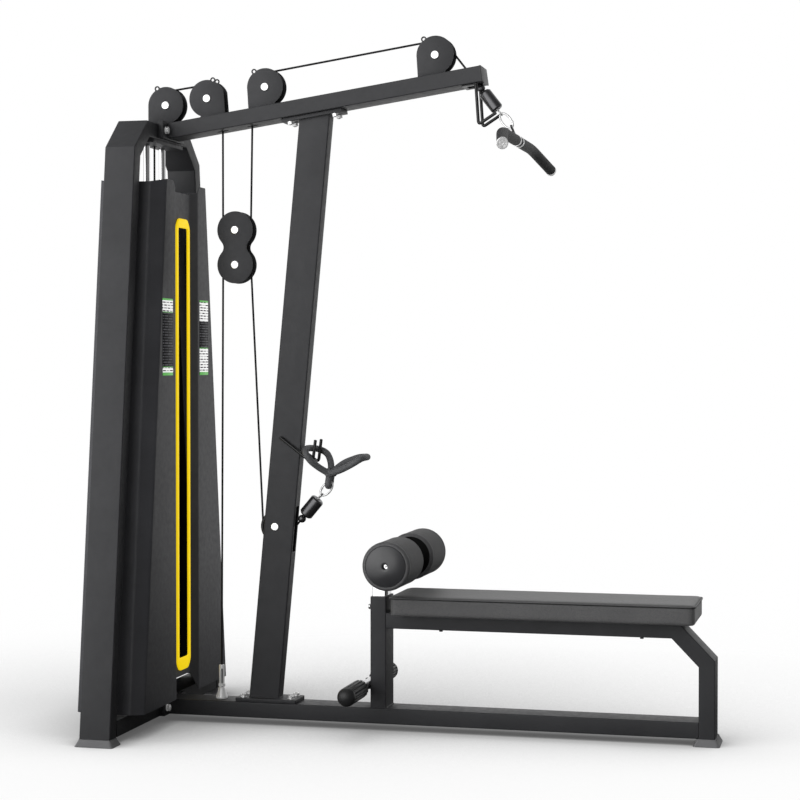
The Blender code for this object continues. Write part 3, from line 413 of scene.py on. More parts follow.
def rod(start, end, radius, steps=32, ease=0.0008):
    start, end = Vector(start), Vector(end)
    run = (end - start).length
    ease = min(ease, radius / 3, run / 3)
    profile = [(0, 0), (radius - ease, 0), (radius, ease), (radius, run - ease), (radius - ease, run),
               (0, run)]
    return lathe(profile, start, end - start, steps)


def wire(points, radius, closed=False, resolution=5):
    """A round wire, tube or cable along a list of points."""
    curve = bpy.data.curves.new("wire", "CURVE")
    curve.dimensions = "3D"
    curve.bevel_depth = radius
    curve.bevel_resolution = resolution
    curve.use_fill_caps = not closed
    spline = curve.splines.new("POLY")
    spline.points.add(len(points) - 1)
    for point, where in zip(spline.points, points):
        point.co = (*where, 1)
    spline.use_cyclic_u = closed
    return shaded(baked(link(curve), weld=MERGE), 50)


def at_y(points, y=0.0):
    return [(x, y, z) for x, z in points]


def tube(path, side, plane="XZ", depth=TUBE_NARROW, cuts=(LEVEL, LEVEL), radius=CORNER_R):
    """Hollow tube with rounded corners to the right of a bent line."""
    verts, skins = [], []
    for inset, corner in ((0, radius), (TUBE_WALL, radius - TUBE_WALL)):
        a0, a1, b0, b1 = inset - depth, -inset, side[0] + inset, side[1] - inset
        section = rectangle(a0, a1, b0, b1, corner)
        lines = [offset_path(path, a, cuts) for a, _ in section]
        rings = []
        for i in range(len(path)):
            ring = []
            for line, (_, b) in zip(lines, section):
                u, v = line[i]
                ring.append(len(verts))
                verts.append((u, b, v) if plane == "XZ" else (b, u, v))
            rings.append(ring)
        skins.append(rings)
    faces = []
    strips = [(a, b) for rings in skins for a, b in zip(rings, rings[1:])]
    strips += [(skins[0][i], skins[1][i]) for i in (0, -1)]
    for a, b in strips:
        for k in range(len(a)):
            n = (k + 1) % len(a)
            faces.append((a[k], a[n], b[n], b[k]))
    return shaded(mesh_object(verts, faces))


def hexagon(at, axis, across, height, dome=0.0006, turn=0.0):
    """A hexagonal head or nut standing on a point."""
    r = across / sqrt(3)
    profile = [(0, 0), (r, 0), (r, height - dome), (r - dome * 1.6, height), (0, height)]
    return shaded(lathe(profile, at, axis, 6, turn=turn), 20)


def bolt(at, axis, size=0.008, tail=True):
    """Washer, nut and the domed end of the bolt."""
    axis = Vector(axis).normalized()
    at = Vector(at)
    washer = rod(at, at + axis * size * 0.18, size, 32, 0.0003)
    nut = hexagon(at + axis * size * 0.18, axis, size * 1.65, size * 0.8)
    parts = [washer, nut]
    if tail:
        top = size * 0.98
        end = [(size / 2, 0), (size / 2, top), (size * 0.38, top + size * 0.16)]
        parts.append(lathe([(0, 0)] + end + [(0, top + size * 0.22)], at, axis, 24))
    return merged(parts)


# ---------------------------------------------------------------- materials
class Tree:
    """Short calls for building the node tree of a material or a world."""

    def __init__(self, owner):
        self.owner = owner
        owner.use_nodes = True
        self.nodes = owner.node_tree.nodes
        self.links = owner.node_tree.links
        self.shader = self.nodes.get("Principled BSDF")
        self.place = self.nodes.new("ShaderNodeTexCoord").outputs["Object"]

    def add(self, kind, settings=None, **inputs):
        """A new node; inputs are sockets' names, or i0, i1 and so on for their numbers."""
        made = self.nodes.new("ShaderNode" + kind)
        for key, value in (settings or {}).items():
            setattr(made, key, value)
        for key, value in inputs.items():
            numbered = key[0] == "i" and key[1:].isdigit()
            socket = made.inputs[int(key[1:]) if numbered else key.replace("_", " ")]
            if isinstance(value, bpy.types.NodeSocket):
                self.links.new(value, socket)
            else:
                socket.default_value = value
        return made

    def stretched(self, scale):
        return self.add("Mapping", Vector=self.place, Scale=scale).outputs["Vector"]

    def noise(self, scale, detail=4.0, rough=0.55, place=None):
        made = self.add("TexNoise", Vector=place or self.place, Scale=scale, Detail=detail, Roughness=rough)
        return made.outputs["Fac"]

    def ramp(self, factor, low, high, start=0.3, end=0.7):
        made = self.add("ValToRGB", Fac=factor)
        ramp = made.color_ramp
        ramp.elements[0].position, ramp.elements[1].position = start, end
        ramp.elements[0].color, ramp.elements[1].color = (*low, 1), (*high, 1)
        return made.outputs["Color"]

    def range(self, value, low, high, start=0.3, end=0.7, kind="LINEAR"):
        made = self.add("MapRange", {"interpolation_type": kind}, Value=value, From_Min=start, From_Max=end,
                        To_Min=low, To_Max=high)
        return made.outputs["Result"]

    def bump(self, height, distance, strength=1.0, below=None):
        inputs = {"Height": height, "Distance": distance, "Strength": strength}
        if below:
            inputs["Normal"] = below
        return self.add("Bump", **inputs).outputs["Normal"]

    def feed(self, **inputs):
        for key, value in inputs.items():
            socket = self.shader.inputs[key.replace("_", " ")]
            if isinstance(value, bpy.types.NodeSocket):
                self.links.new(value, socket)
            else:
                socket.default_value = value
        return self.owner


def tones(colour, spread):
    return [c * (1 - spread) for c in colour], [c * (1 + spread) for c in colour]


def powder(name, colour, roughness, grain=900, depth=0.00008, spread=0.10, specular=0.5):
    """Powder coat: fine orange peel, faint cloudiness in tone and gloss."""
    t = Tree(bpy.data.materials.new(name))
    low, high = tones(colour, spread)
    peel = t.noise(grain, 3.0)
    cloud = t.noise(7.0, 3.0)
    speckle = t.noise(grain * 1.6, 2.0)
    tone = t.add("MixRGB", {"blend_type": "MULTIPLY"}, Fac=0.5, Color1=t.ramp(cloud, low, high),
                 Color2=t.ramp(speckle, (0.80, 0.80, 0.81), (1.12, 1.12, 1.12))).outputs["Color"]
    gloss = t.range(t.noise(60, 3.0), roughness - 0.05, roughness + 0.07)
    return t.feed(Base_Color=tone, Roughness=gloss, Specular_IOR_Level=specular,
                  Normal=t.bump(peel, depth, 0.6))


def metal(name, colour, roughness, brushed=None, spread=0.04):
    """Bright metal with fine scratches, brushed along an axis where one is given."""
    t = Tree(bpy.data.materials.new(name))
    low, high = tones(colour, spread)
    place = t.stretched(brushed) if brushed else t.place
    scratch = t.noise(260 if brushed else 120, 5.0, 0.7, place)
    gloss = t.range(scratch, roughness * 0.7, roughness * 1.5)
    return t.feed(Base_Color=t.ramp(t.noise(18), low, high), Roughness=gloss, Metallic=1.0,
                  Normal=t.bump(scratch, 0.00001, 0.3))


def moulded(name, colour, roughness, grain=1400, depth=0.00003, spread=0.08, coat=0.0, metallic=0.0,
            glow=0.0, specular=0.5, turned=0.0):
    """Moulded plastic or rubber: a fine matte texture, with turning marks round Y where asked, and painted
    light where glow is given: it glows in its own colour though it is no lamp.
    """
    t = Tree(bpy.data.materials.new(name))
    low, high = tones(colour, spread)
    fine = t.noise(grain, 2.0)
    gloss = t.range(t.noise(30), roughness - 0.05, roughness + 0.06)
    if turned:
        round_y = t.add("Tangent", {"direction_type": "RADIAL", "axis": "Y"}).outputs["Tangent"]
        t.feed(Anisotropic=turned, Tangent=round_y)
    # glow is painted light: the surface gives off its own colour though it is no lamp
    return t.feed(Base_Color=t.ramp(t.noise(11), low, high), Roughness=gloss, Coat_Weight=coat,
                  Coat_Roughness=0.12, Metallic=metallic, Emission_Color=(*colour, 1),
                  Emission_Strength=glow, Specular_IOR_Level=specular, Normal=t.bump(fine, depth, 0.6))


def leather(name, colour, roughness, cell=420, depth=0.00022, sheen=0.0):
    """Vinyl or foam skin: rounded pebbles, with painted shade darkening their creases."""
    t = Tree(bpy.data.materials.new(name))
    low, high = tones(colour, 0.10)
    warp = t.add("TexNoise", Vector=t.place, Scale=90.0, Detail=2.0).outputs["Color"]
    place = t.add("VectorMath", {"operation": "MULTIPLY_ADD"}, i0=warp, i1=(0.003, 0.003, 0.003), i2=t.place)
    pebbles = t.add("TexVoronoi", {"feature": "DISTANCE_TO_EDGE"}, Vector=place.outputs["Vector"],
                    Scale=float(cell))
    crease = t.range(pebbles.outputs["Distance"], 0.0, 1.0, 0.0, 0.28)
    cloud = t.ramp(t.noise(9), low, high)
    # The creases are painted darker: painted shade in the grain
    crease_shade = [c * 0.55 for c in colour]
    tone = t.add("MixRGB", {"blend_type": "MIX"}, Fac=crease, Color1=(*crease_shade, 1), Color2=cloud)
    tone = tone.outputs["Color"]
    gloss = t.range(crease, roughness + 0.12, roughness - 0.04, 0.0, 1.0)
    soft = t.bump(t.noise(26, 3.0), 0.0012, 0.35)
    return t.feed(Base_Color=tone, Roughness=gloss, Sheen_Weight=sheen, Sheen_Roughness=0.4,
                  Normal=t.bump(crease, depth, 0.7, soft))


def stranded(name, colour, roughness):
    """Coated wire rope: the lay of the strands shows faintly through the coat."""
    t = Tree(bpy.data.materials.new(name))
    low, high = tones(colour, 0.22)
    waves = t.add("TexWave", {"bands_direction": "DIAGONAL"}, Vector=t.place, Scale=160.0, Distortion=0.6,
                  Detail=1.0)
    waves = waves.outputs["Fac"]
    gloss = t.range(t.noise(300), roughness - 0.08, roughness + 0.08)
    return t.feed(Base_Color=t.ramp(waves, low, high), Roughness=gloss, Specular_IOR_Level=0.2,
                  Normal=t.bump(waves, 0.0002, 0.3))


def cast_iron(name, colour, roughness):
    """Painted casting: lumps with small pits."""
    t = Tree(bpy.data.materials.new(name))
    low, high = tones(colour, 0.25)
    pits = t.add("TexVoronoi", Vector=t.place, Scale=520.0).outputs["Distance"]
    lumps = t.noise(140, 5.0, 0.65)
    under = t.bump(lumps, 0.0006, 0.5)
    gloss = t.range(lumps, roughness - 0.1, roughness + 0.1)
    return t.feed(Base_Color=t.ramp(lumps, low, high), Roughness=gloss, Metallic=0.4,
                  Normal=t.bump(pits, 0.0002, 0.35, under))


def printed(name, paper, ink, line, word, glow):
    """A printed panel facing X: rows of plain bars that spell nothing, line high and word long, with painted
    light: the print glows in its own colours though it is no lamp.
    """
    t = Tree(bpy.data.materials.new(name))
    axes = t.add("SeparateXYZ", Vector=t.place).outputs
    flat = t.add("CombineXYZ", X=axes["Y"], Y=axes["Z"]).outputs["Vector"]
    rows = t.add("TexBrick", {"offset": 0.37, "offset_frequency": 3}, Vector=flat, Color1=(*ink, 1),
                 Color2=(*paper, 1), Mortar=(*paper, 1), Scale=1.0, Mortar_Size=line * 0.27,
                 Mortar_Smooth=0.0, Bias=-0.45, Brick_Width=word, Row_Height=line).outputs["Color"]
    # Painted light: the print glows in its own colours by glow
    return t.feed(Base_Color=rows, Roughness=t.range(t.noise(40), 0.31, 0.41), Specular_IOR_Level=0.03,
                  Emission_Color=rows, Emission_Strength=glow)


CHARCOAL = powder("charcoal_powder_coat", (0.053, 0.0535, 0.057), 0.45, specular=0.26)
SHROUD_COAT = powder("shroud_textured_coat", (0.065, 0.0658, 0.073), 0.50, grain=620, depth=0.00016,
                     spread=0.14)
BLACK_COAT = powder("black_coat", (0.012, 0.012, 0.013), 0.34)
BLACK_GLOSS = moulded("black_gloss", (0.11, 0.11, 0.115), 0.30, depth=0.00001, coat=0.3, metallic=0.85)
CHROME = metal("polished_chrome", (0.86, 0.86, 0.87), 0.07)
# Painted light: the bolts glow a little in their own colour
BOLT_ZINC = moulded("bright_bolts_painted_glow", (0.84, 0.84, 0.84), 0.26, metallic=0.88, glow=0.10)
WIRE_CHROME = metal("bright_wire", (0.96, 0.96, 0.96), 0.38)
# Painted light: the anchor casting glows a little in its own colour
CAST = moulded("cast_alloy", (0.82, 0.82, 0.82), 0.34, metallic=0.3, glow=0.12)
ZINC = metal("zinc_plate", (0.88, 0.88, 0.88), 0.24)
BRUSHED = metal("brushed_steel", (0.78, 0.78, 0.79), 0.22, brushed=(1.0, 0.06, 1.0))
# Painted light: the yellow rim glows strongly in its own colour
YELLOW = moulded("yellow_plastic", (1.0, 0.71, 0.006), 0.45, spread=0.03, glow=0.72, specular=0.15)
RUBBER = moulded("black_rubber", (0.018, 0.018, 0.019), 0.72, grain=900, depth=0.00008)
FOOT_RUBBER = moulded("foot_rubber", (0.240, 0.240, 0.248), 0.60, grain=700, depth=0.0001)
SLEEVE = leather("sleeve_rubber", (0.018, 0.0188, 0.021), 0.58, cell=900, depth=0.00008)
GRIP = moulded("grip_rubber", (0.026, 0.026, 0.027), 0.46, grain=1200, depth=0.00006)
VINYL = leather("seat_vinyl", (0.155, 0.155, 0.157), 0.46, cell=460, depth=0.00016, sheen=0.15)
FOAM = leather("roller_foam", (0.045, 0.045, 0.047), 0.60, cell=700, depth=0.00014, sheen=0.1)
RIM_VINYL = leather("roller_rim_vinyl", (0.150, 0.150, 0.154), 0.50, cell=300, depth=0.0003)
CAP_PLASTIC = moulded("roller_cap_plastic", (0.046, 0.0465, 0.050), 0.34, grain=1000, depth=0.00002,
                      turned=0.85, specular=0.8)
# Near-black disc material for the rollers' inner ends: painted shade in the gap between them
GAP_SHADE_BLACK = moulded("roller_liner", (0.006, 0.006, 0.006), 0.70, specular=0.1)
NYLON = moulded("pulley_nylon", (0.020, 0.020, 0.021), 0.42)
CABLE = stranded("coated_cable", (0.010, 0.010, 0.011), 0.45)
STRAP = leather("strap_rubber", (0.170, 0.173, 0.180), 0.60, cell=1100, depth=0.00006)
IRON = cast_iron("cast_iron_plates", (0.026, 0.026, 0.028), 0.55)
# Painted light: the placards glow in their own colours
WHITE_PRINT = printed("white_panel", (0.90, 0.91, 0.90), (0.06, 0.05, 0.06), 0.0090, 0.030, glow=0.84)
BLACK_PRINT = printed("black_panel", (0.004, 0.004, 0.005), (0.12, 0.12, 0.13), 0.0086, 0.034, glow=0.30)
GREEN_PRINT = moulded("green_strip", (0.10, 0.50, 0.07), 0.35, glow=0.5)


def finish(obj, name, body, slot, material, *replaced):
    """Name a piece, give it its material, and put it on its body."""
    obj.name = obj.data.name = name
    obj.data.materials.clear()
    obj.data.materials.append(material)
    if body:
        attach(obj, body)
    if replaced:
        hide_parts(*replaced)
    return obj


def refined(node, material, width=0.0012):
    """A CAD node that shows as it is, with eased edges and its own material."""
    obj = NODES[node]
    weld = obj.modifiers.new("weld", "WELD")
    weld.merge_threshold = MERGE
    bevel = obj.modifiers.new("edges", "BEVEL")
    bevel.width = width
    bevel.segments = 2
    bevel.limit_method = "ANGLE"
    bevel.angle_limit = radians(40)
    obj.data.materials.clear()
    obj.data.materials.append(material)


# ---------------------------------------------------------------- frame
def tower_flange(low, high):
    """A plate that bolts a beam to the tower."""
    return block((TOWER_FACE + GAP, -FLANGE_REACH, low), (FLANGE_FACE, FLANGE_REACH, high), FLANGE_EASE)


def build_frame():
    outer = [(-y, z) for y, z in TOWER_PATH] + TOWER_PATH[::-1]
    tower = tube(outer, (TOWER_BACK, TOWER_FACE), "YZ")
    tower = cut(tower, rod((TOWER_X, 0, 1.85), (TOWER_X, 0, 1.96), CABLE_HOLE_R))
    finish(shaded(tower), "tower_tube", "frame", "charcoal", CHARCOAL, "tower_frame")

    end = LEG_OUTER - TUBE_NARROW - GAP
    half = TUBE_WIDE / 2
    beam = tube([(BEAM_START_X, BASE_TOP), (end, BASE_TOP)], (-half, half), cuts=(None, None))
    flange = tower_flange(FOOT_HEIGHT, BASE_TOP)
    finish(shaded(merged([beam, flange])), "base_tube", "frame", "charcoal", CHARCOAL, "base_beam")

    path = [beam_point(0, 0), beam_point(BEAM_LENGTH - 0.002, 0)]
    beam = tube(path, (-half, half), cuts=(PLUMB, None))
    slots = []
    for x in (PULLEY_2[0] + GROOVE_R, PULLEY_3[0] - GROOVE_R):
        slots.append(block((x - 0.018, -0.008, 1.85), (x + 0.018, 0.008, 2.10)))
    middle = exit_point(PULLEY_4, LAT_EXIT, -1, 0.128)
    along, across = unit(LAT_EXIT) * 0.07, unit(LAT_EXIT + pi / 2) * 0.014
    ends = (middle - along, middle + along)
    slot = [tuple(end - across) for end in ends] + [tuple(end + across) for end in ends[::-1]]
    slots.append(plate([slot], -0.010, 0.010, bevel=0.0))
    beam = cut(beam, *slots)
    flange = tower_flange(*TOP_FLANGE_Z)
    finish(shaded(merged([beam, flange])), "beam_tube", "frame", "charcoal", CHARCOAL, "top_beam")

    lip, start, end = 0.0004, BEAM_LENGTH - 0.003, BEAM_LENGTH + 0.0025
    collar = [beam_point(start, lip), beam_point(end, lip), beam_point(end, -TUBE_NARROW - lip),
              beam_point(start, -TUBE_NARROW - lip)]
    plug = plate([collar], -half - lip, half + lip, bevel=0.0015)
    finish(plug, "beam_end_plug", "frame", "black", NYLON)

    bolts = []
    for side in (-1, 1):
        for z in FLANGE_BOLT_Z:
            bolts.append(bolt((FLANGE_FACE, side * FLANGE_BOLT_Y, z), (1, 0, 0), FLANGE_BOLT))
    finish(merged(bolts), "tower_bolts", "frame", "chrome", BOLT_ZINC)


def build_upright():
    half = TUBE_NARROW / 2
    low = BASE_TOP + GAP
    head_top = -TUBE_NARROW - GAP
    head_low = head_top - FLANGE_THICK
    top = beam_point(beam_along(upright_left(1.94)), head_low + 0.002)
    tube_depth = UPRIGHT_WIDTH * cos(atan2(UPRIGHT_LEAN, 1))
    post = tube([(upright_left(low + 0.004), low + 0.004), top], (-half, half), depth=tube_depth,
                cuts=(LEVEL, unit(BEAM_SLOPE)), radius=0.0045)
    x, z = ROW_PULLEY
    post = cut(post, block((x - 0.12, -0.015, z - 0.066), (x + 0.005, 0.015, z + 0.075)),
               block((x, -0.015, z - 0.080), (x + 0.12, 0.015, z + 0.066)))
    foot = plate([rectangle(*BASE_FLANGE, -0.05, 0.05, 0.006)], low, low + FLANGE_THICK, "XY", 0.001)
    along = [beam_along(v) for v in TOP_FLANGE]
    head = block((along[0], -0.0375, head_low), (along[1], 0.0375, head_top), 0.0012)
    start = beam_point(0, 0)
    head.data.transform(Matrix.Translation((start[0], 0, start[1])) @ Matrix.Rotation(-BEAM_SLOPE, 4, "Y"))
    finish(shaded(merged([post, foot, head])), "upright_tube", "frame", "charcoal", CHARCOAL, "upright")

    axle = axle_set(ROW_PULLEY, half, half - TUBE_WALL)
    finish(merged(axle), "row_axle", "frame", "black", BLACK_COAT)

    nuts = []
    for x in (BASE_FLANGE[0] + 0.022, BASE_FLANGE[1] - 0.022):
        nuts += [bolt((x, y, low + FLANGE_THICK), (0, 0, 1), FOOT_BOLT) for y in (-0.030, 0.030)]
    down = -unit(BEAM_SLOPE + pi / 2)
    for a in (along[0] + 0.026, along[1] - 0.026):
        px, pz = beam_point(a, head_low)
        nuts += [bolt((px, y, pz), (down.x, 0, down.y), FOOT_BOLT) for y in (-0.025, 0.025)]
    finish(merged(nuts), "upright_bolts", "frame", "chrome", BOLT_ZINC)


def build_welds():
    """Weld beads, each with its line of points, its radius and whether it is closed."""
    half = TUBE_NARROW / 2
    low = BASE_TOP + GAP + FLANGE_THICK
    left, right = upright_left(low), upright_left(low) + UPRIGHT_WIDTH
    beads = [([(x, y, low) for x, y in rectangle(left, right, -half, half, 0.0045)], 0.0022, True)]
    for side in (-1, 1):
        y = side * TUBE_WIDE / 2
        beads.append(([(FLANGE_FACE, y, z) for z in (BASE_TOP - 0.004, FOOT_HEIGHT + 0.004)], 0.002, False))
    beads.append(([(BENCH_POST[1] + 0.001, y, RAIL_TOP - 0.0495) for y in (-0.046, 0.046)], 0.002, False))
    foot = BASE_TOP + 0.0005
    for x in BENCH_POST:
        beads.append(([(x, y, foot) for y in (-0.045, 0.045)], 0.0022, False))
    for y in (-0.05, 0.05):
        beads.append(([(x, y, foot) for x in (BENCH_POST[0] + 0.005, BENCH_POST[1] - 0.005)], 0.0018, False))
    made = merged([wire(points, radius, closed, 3) for points, radius, closed in beads])
    finish(shaded(made, 60), "weld_beads", "frame", "charcoal", CHARCOAL)


def build_feet():
    """Rubber shoes: a straight collar over a skirt that spreads to the floor."""
    wide = TUBE_WIDE / 2 + 0.002
    flare = 0.010
    spans = [("shoe_near", "foot_near", (TOWER_X - wide, TOWER_X + wide), (-0.5095, -0.4545)),
             ("shoe_far", "foot_far", (TOWER_X - wide, TOWER_X + wide), (0.4545, 0.5095)),
             ("shoe_bench", "foot_bench", (LEG_OUTER - TUBE_NARROW - 0.006, 0.9642), (-wide, wide))]
    levels = [(0.0, flare), (0.0025, flare), (0.0035, flare * 0.92), (0.0180, flare * 0.12),
              (0.0200, 0.0006), (FOOT_HEIGHT - GAP - 0.0006, 0.0004), (FOOT_HEIGHT - GAP, 0.0)]
    for name, node, (x0, x1), (y0, y1) in spans:
        verts, rings = [], []
        for z, out in levels:
            line = rectangle(x0 - out, x1 + out, y0 - out, y1 + out, 0.007 + out / 3, 5)
            rings.append(range(len(verts), len(verts) + len(line)))
            verts += [(x, y, z) for x, y in line]
        faces = [tuple(rings[0])[::-1], tuple(rings[-1])]
        for a, b in zip(rings, rings[1:]):
            for k in range(len(a)):
                n = (k + 1) % len(a)
                faces.append((a[k], a[n], b[n], b[k]))
        finish(shaded(mesh_object(verts, faces), 28), name, "frame", "rubber", FOOT_RUBBER, node)


# ---------------------------------------------------------------- pulleys
def pulley(name, centre, body, node):
    """Grooved wheel with a recessed web and a hub."""
    x, z = centre
    half = [(RIM_R - 0.0008, 0.0098), (RIM_R - 0.004, RIM_HALF), (0.0455, RIM_HALF), (0.0430, 0.0072),
            (0.0215, 0.0072), (0.0195, RIM_HALF), (0.0135, RIM_HALF), (0.0128, 0.0098), (0.0080, 0.0098)]
    turns = [radians(d) for d in (10, 35, 62, 90, 118, 145, 170)]
    groove = [(GROOVE_BOTTOM + 0.0035 * (1 - sin(a)), 0.0037 * cos(a)) for a in turns]
    profile = half[::-1] + [(RIM_R, 0.0090)] + groove + [(RIM_R, -0.0090)]
    profile += [(r, -y) for r, y in half] + [(0.0066, -0.0095), (0.0066, 0.0095)]
    wheel = lathe(profile, (x, 0, z), (0, 1, 0), 96)
    finish(shaded(wheel, 35), name, body, "nylon", NYLON, node)


def ear_rim(centre, radius, start, end, ear):
    """A rim arc with the small ring of its keeper ear bulging out of it."""
    way = 1 if end > start else -1
    while way * (ear - start) < 0:
        ear += way * 2 * pi
    alpha = acos((radius ** 2 + EAR_REACH ** 2 - EAR_R ** 2) / (2 * radius * EAR_REACH))
    beta = acos((EAR_R ** 2 + EAR_REACH ** 2 - radius ** 2) / (2 * EAR_R * EAR_REACH))
    middle = tuple(Vector(centre) + unit(ear) * EAR_REACH)
    first = ear + pi + way * beta
    return (arc(centre, radius, start, ear - way * alpha)[:-1]
            + arc(middle, EAR_R, first, first + way * (2 * pi - 2 * beta), radians(12))
            + arc(centre, radius, ear + way * alpha, end)[1:]), middle


def side_plates(outlines):
    """The two cover plates of a bracket."""
    return [plate(outlines, *sorted((side * COVER_IN, side * COVER_OUT)), bevel=0.0007) for side in (-1, 1)]


def axle_set(centre, half=COVER_IN, spacer_end=COVER_IN + 0.0005):
    """An axle with a spacer on each side of its wheel."""
    x, z = centre
    start = RIM_HALF + 0.0008
    parts = [rod((x, -half, z), (x, half, z), AXLE_R)]
    return parts + [rod((x, side * start, z), (x, side * spacer_end, z), SPACER_R) for side in (-1, 1)]


def axle_caps(centre, out=COVER_OUT):
    """Button heads at both ends of an axle."""
    x, z = centre
    profile = rounded([(0.0, 0.0), (0.0138, 0.0), (0.0138, 0.0016), (0.0118, 0.0034), (0.0036, 0.0040),
                       (0.0032, 0.0026), (0.0, 0.0026)], 0.0006, 3, closed=False)
    return [lathe(profile, (x, side * out, z), (0, side, 0), 48) for side in (-1, 1)]


def build_brackets():
    floor = TOWER_PATH[2][1] + GAP
    specs = [(1, PULLEY_1, 118, -1), (2, PULLEY_2, 71, 1), (3, PULLEY_3, 126, -1), (4, PULLEY_4, 126, -1)]
    caps = []
    for number, centre, ear, foot_side in specs:
        x = centre[0]
        if number == 1:
            feet_line = [(TOWER_FACE - 0.001, floor), (x - COVER_R, floor)]
            start, end = radians(-88), pi
        else:
            along = beam_along(x)
            reach = 0.0625 if foot_side > 0 else 0.0560
            feet_line = [beam_point(along + foot_side * shift, GAP) for shift in (-0.030, reach)]
            start = BEAM_SLOPE - pi / 2 - foot_side * radians(28)
            end = BEAM_SLOPE + (radians(14) - 2 * pi if foot_side > 0 else pi)
        rim, hole = ear_rim(centre, COVER_R, start, end, radians(ear))
        parts = side_plates([rim + feet_line[::-1], circle(hole, 0.0044, 24)]) + axle_set(centre)
        finish(merged(parts), f"cover_{number}", "frame", "charcoal", CHARCOAL, f"pulley_bracket_{number}")
        caps += axle_caps(centre)
    caps += axle_caps(ROW_PULLEY, TUBE_NARROW / 2)
    finish(merged(caps), "axle_caps", "frame", "chrome", ZINC)


def build_floater():
    mid = (FLOATER_UPPER[1] + FLOATER_LOWER[1]) / 2
    half = (FLOATER_UPPER[1] - FLOATER_LOWER[1]) / 2
    neck_half = 0.039
    neck_r = (half * half + neck_half ** 2 - COVER_R ** 2) / (2 * (COVER_R - neck_half))
    spread = atan2(half, neck_half + neck_r)
    outline = arc(FLOATER_UPPER, COVER_R, -spread, pi + spread)
    outline += arc((FLOATER_X - neck_half - neck_r, mid), neck_r, spread, -spread)[1:-1]
    outline += arc(FLOATER_LOWER, COVER_R, pi - spread, 2 * pi + spread)
    outline += arc((FLOATER_X + neck_half + neck_r, mid), neck_r, pi + spread, pi - spread)[1:-1]
    parts = side_plates([outline]) + axle_set(FLOATER_UPPER) + axle_set(FLOATER_LOWER)
    finish(merged(parts), "floater_plates", "floater", "charcoal", CHARCOAL, "floater_bracket")
    caps = axle_caps(FLOATER_UPPER) + axle_caps(FLOATER_LOWER)
    finish(merged(caps), "floater_caps", "floater", "chrome", ZINC)


def build_pulleys():
    build_brackets()
    build_floater()
    for number, centre in enumerate((PULLEY_1, PULLEY_2, PULLEY_3, PULLEY_4), 1):
        pulley(f"wheel_{number}_nylon", centre, f"wheel_{number}", f"pulley_{number}")
    pulley("floater_upper_nylon", FLOATER_UPPER, "floater_wheel_upper", "floater_pulley_upper")
    pulley("floater_lower_nylon", FLOATER_LOWER, "floater_wheel_lower", "floater_pulley_lower")
    pulley("row_nylon", ROW_PULLEY, "row_wheel", "row_pulley")


# ---------------------------------------------------------------- cables
def on_rim(centre, angle):
    return tuple(Vector(centre) + unit(angle) * GROOVE_R)


def span(start, end, pieces=24):
    a, b = Vector(start), Vector(end)
    return at_y([tuple(a.lerp(b, i / pieces)) for i in range(pieces + 1)])


def strung(name, start, end, bodies, *replaced):
    """A straight run of cable between two points, put on no body; the bodies it runs between are not used.
    """
    made = wire(span(start, end), CABLE_R, resolution=4)
    finish(made, name, None, "nylon", CABLE, *replaced)
    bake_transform(made)


def wrapped(name, points, body, *replaced):
    finish(wire(at_y(points), CABLE_R, resolution=4), name, body, "nylon", CABLE, *replaced)


def build_cables():
    upper = belt([(TOWER_X, STACK_EYE, 0), (*PULLEY_1, -1), (*PULLEY_2, -1), (*FLOATER_UPPER, 1),
                  (*PULLEY_3, -1), (*PULLEY_4, -1), (*LAT_STOP, 0)])
    lower = belt([(*ANCHOR, 0), (*FLOATER_LOWER, -1), (*ROW_PULLEY, 1), (*ROW_STOP, 0)])
    arcs = [arc(c, GROOVE_R, a, b, radians(4)) for c, a, b in upper]
    strung("cable_to_stack", (TOWER_X, STACK_EYE - 0.004), arcs[0][0], ("stack", "frame"), "stack_cable")
    wrapped("cable_over_tower", arcs[0] + arcs[1], "frame", "upper_cable")
    strung("cable_down_to_floater", arcs[1][-1], arcs[2][0], ("frame", "floater"))
    wrapped("cable_under_floater", arcs[2], "floater")
    strung("cable_up_from_floater", arcs[2][-1], arcs[3][0], ("floater", "frame"))
    wrapped("cable_over_beam", arcs[3] + arcs[4], "frame")
    strung("cable_to_bar", arcs[4][-1], tuple(LAT_STOP), ("frame", "lat_end"), "lat_cable")
    arcs = [arc(c, GROOVE_R, a, b, radians(4)) for c, a, b in lower[:1]]
    centre, start, end = lower[1]
    turn_off = end - radians(46)
    strung("cable_from_anchor", ANCHOR, arcs[0][0], ("frame", "floater"), "lower_cable")
    wrapped("cable_over_floater", arcs[0], "floater")
    strung("cable_down_to_row", arcs[0][-1], on_rim(centre, start), ("floater", "frame"))
    wrapped("cable_round_row", arc(centre, GROOVE_R, start, turn_off + radians(0.5), radians(4)), "frame")
    wrapped("cable_off_row", arc(centre, GROOVE_R, turn_off, end, radians(4)), "row_lead")
    strung("cable_to_handle", on_rim(centre, end), tuple(ROW_STOP), ("row_lead", "row_end"), "row_cable")


def build_anchor():
    """Cast cone with a forked adjusting screw that grips the lower cable."""
    x, top = ANCHOR
    base = BASE_TOP + GAP
    tall = top - base
    profile = rounded([(0, 0), (0.0195, 0), (0.0195, 0.005), (0.0165, 0.014), (0.0105, 0.033),
                       (0.0088, 0.036), (0.0088, tall - 0.0005), (0.0070, tall), (0, tall)],
                      0.002, 3, closed=False)
    body = lathe(profile, (x, 0, base), (0, 0, 1), 48)
    slot = plate([rectangle(-0.0024, 0.0024, 0.034, 0.097, 0.0022)], -0.03, 0.03, bevel=0.0)
    slot.location = (x + 0.003, 0, base)
    bpy.context.view_layer.update()
    body = cut(body, slot)
    nut = hexagon((x, 0, base + 0.040), (0, 0, 1), 0.0205, 0.008)
    finish(shaded(merged([body, nut])), "anchor_fitting", "frame", "aluminium", CAST, "cable_anchor")
    screw = rod((x, 0, base + 0.036), (x, 0, top - 0.004), 0.0052)
    finish(screw, "anchor_screw", "frame", "black", BLACK_COAT)


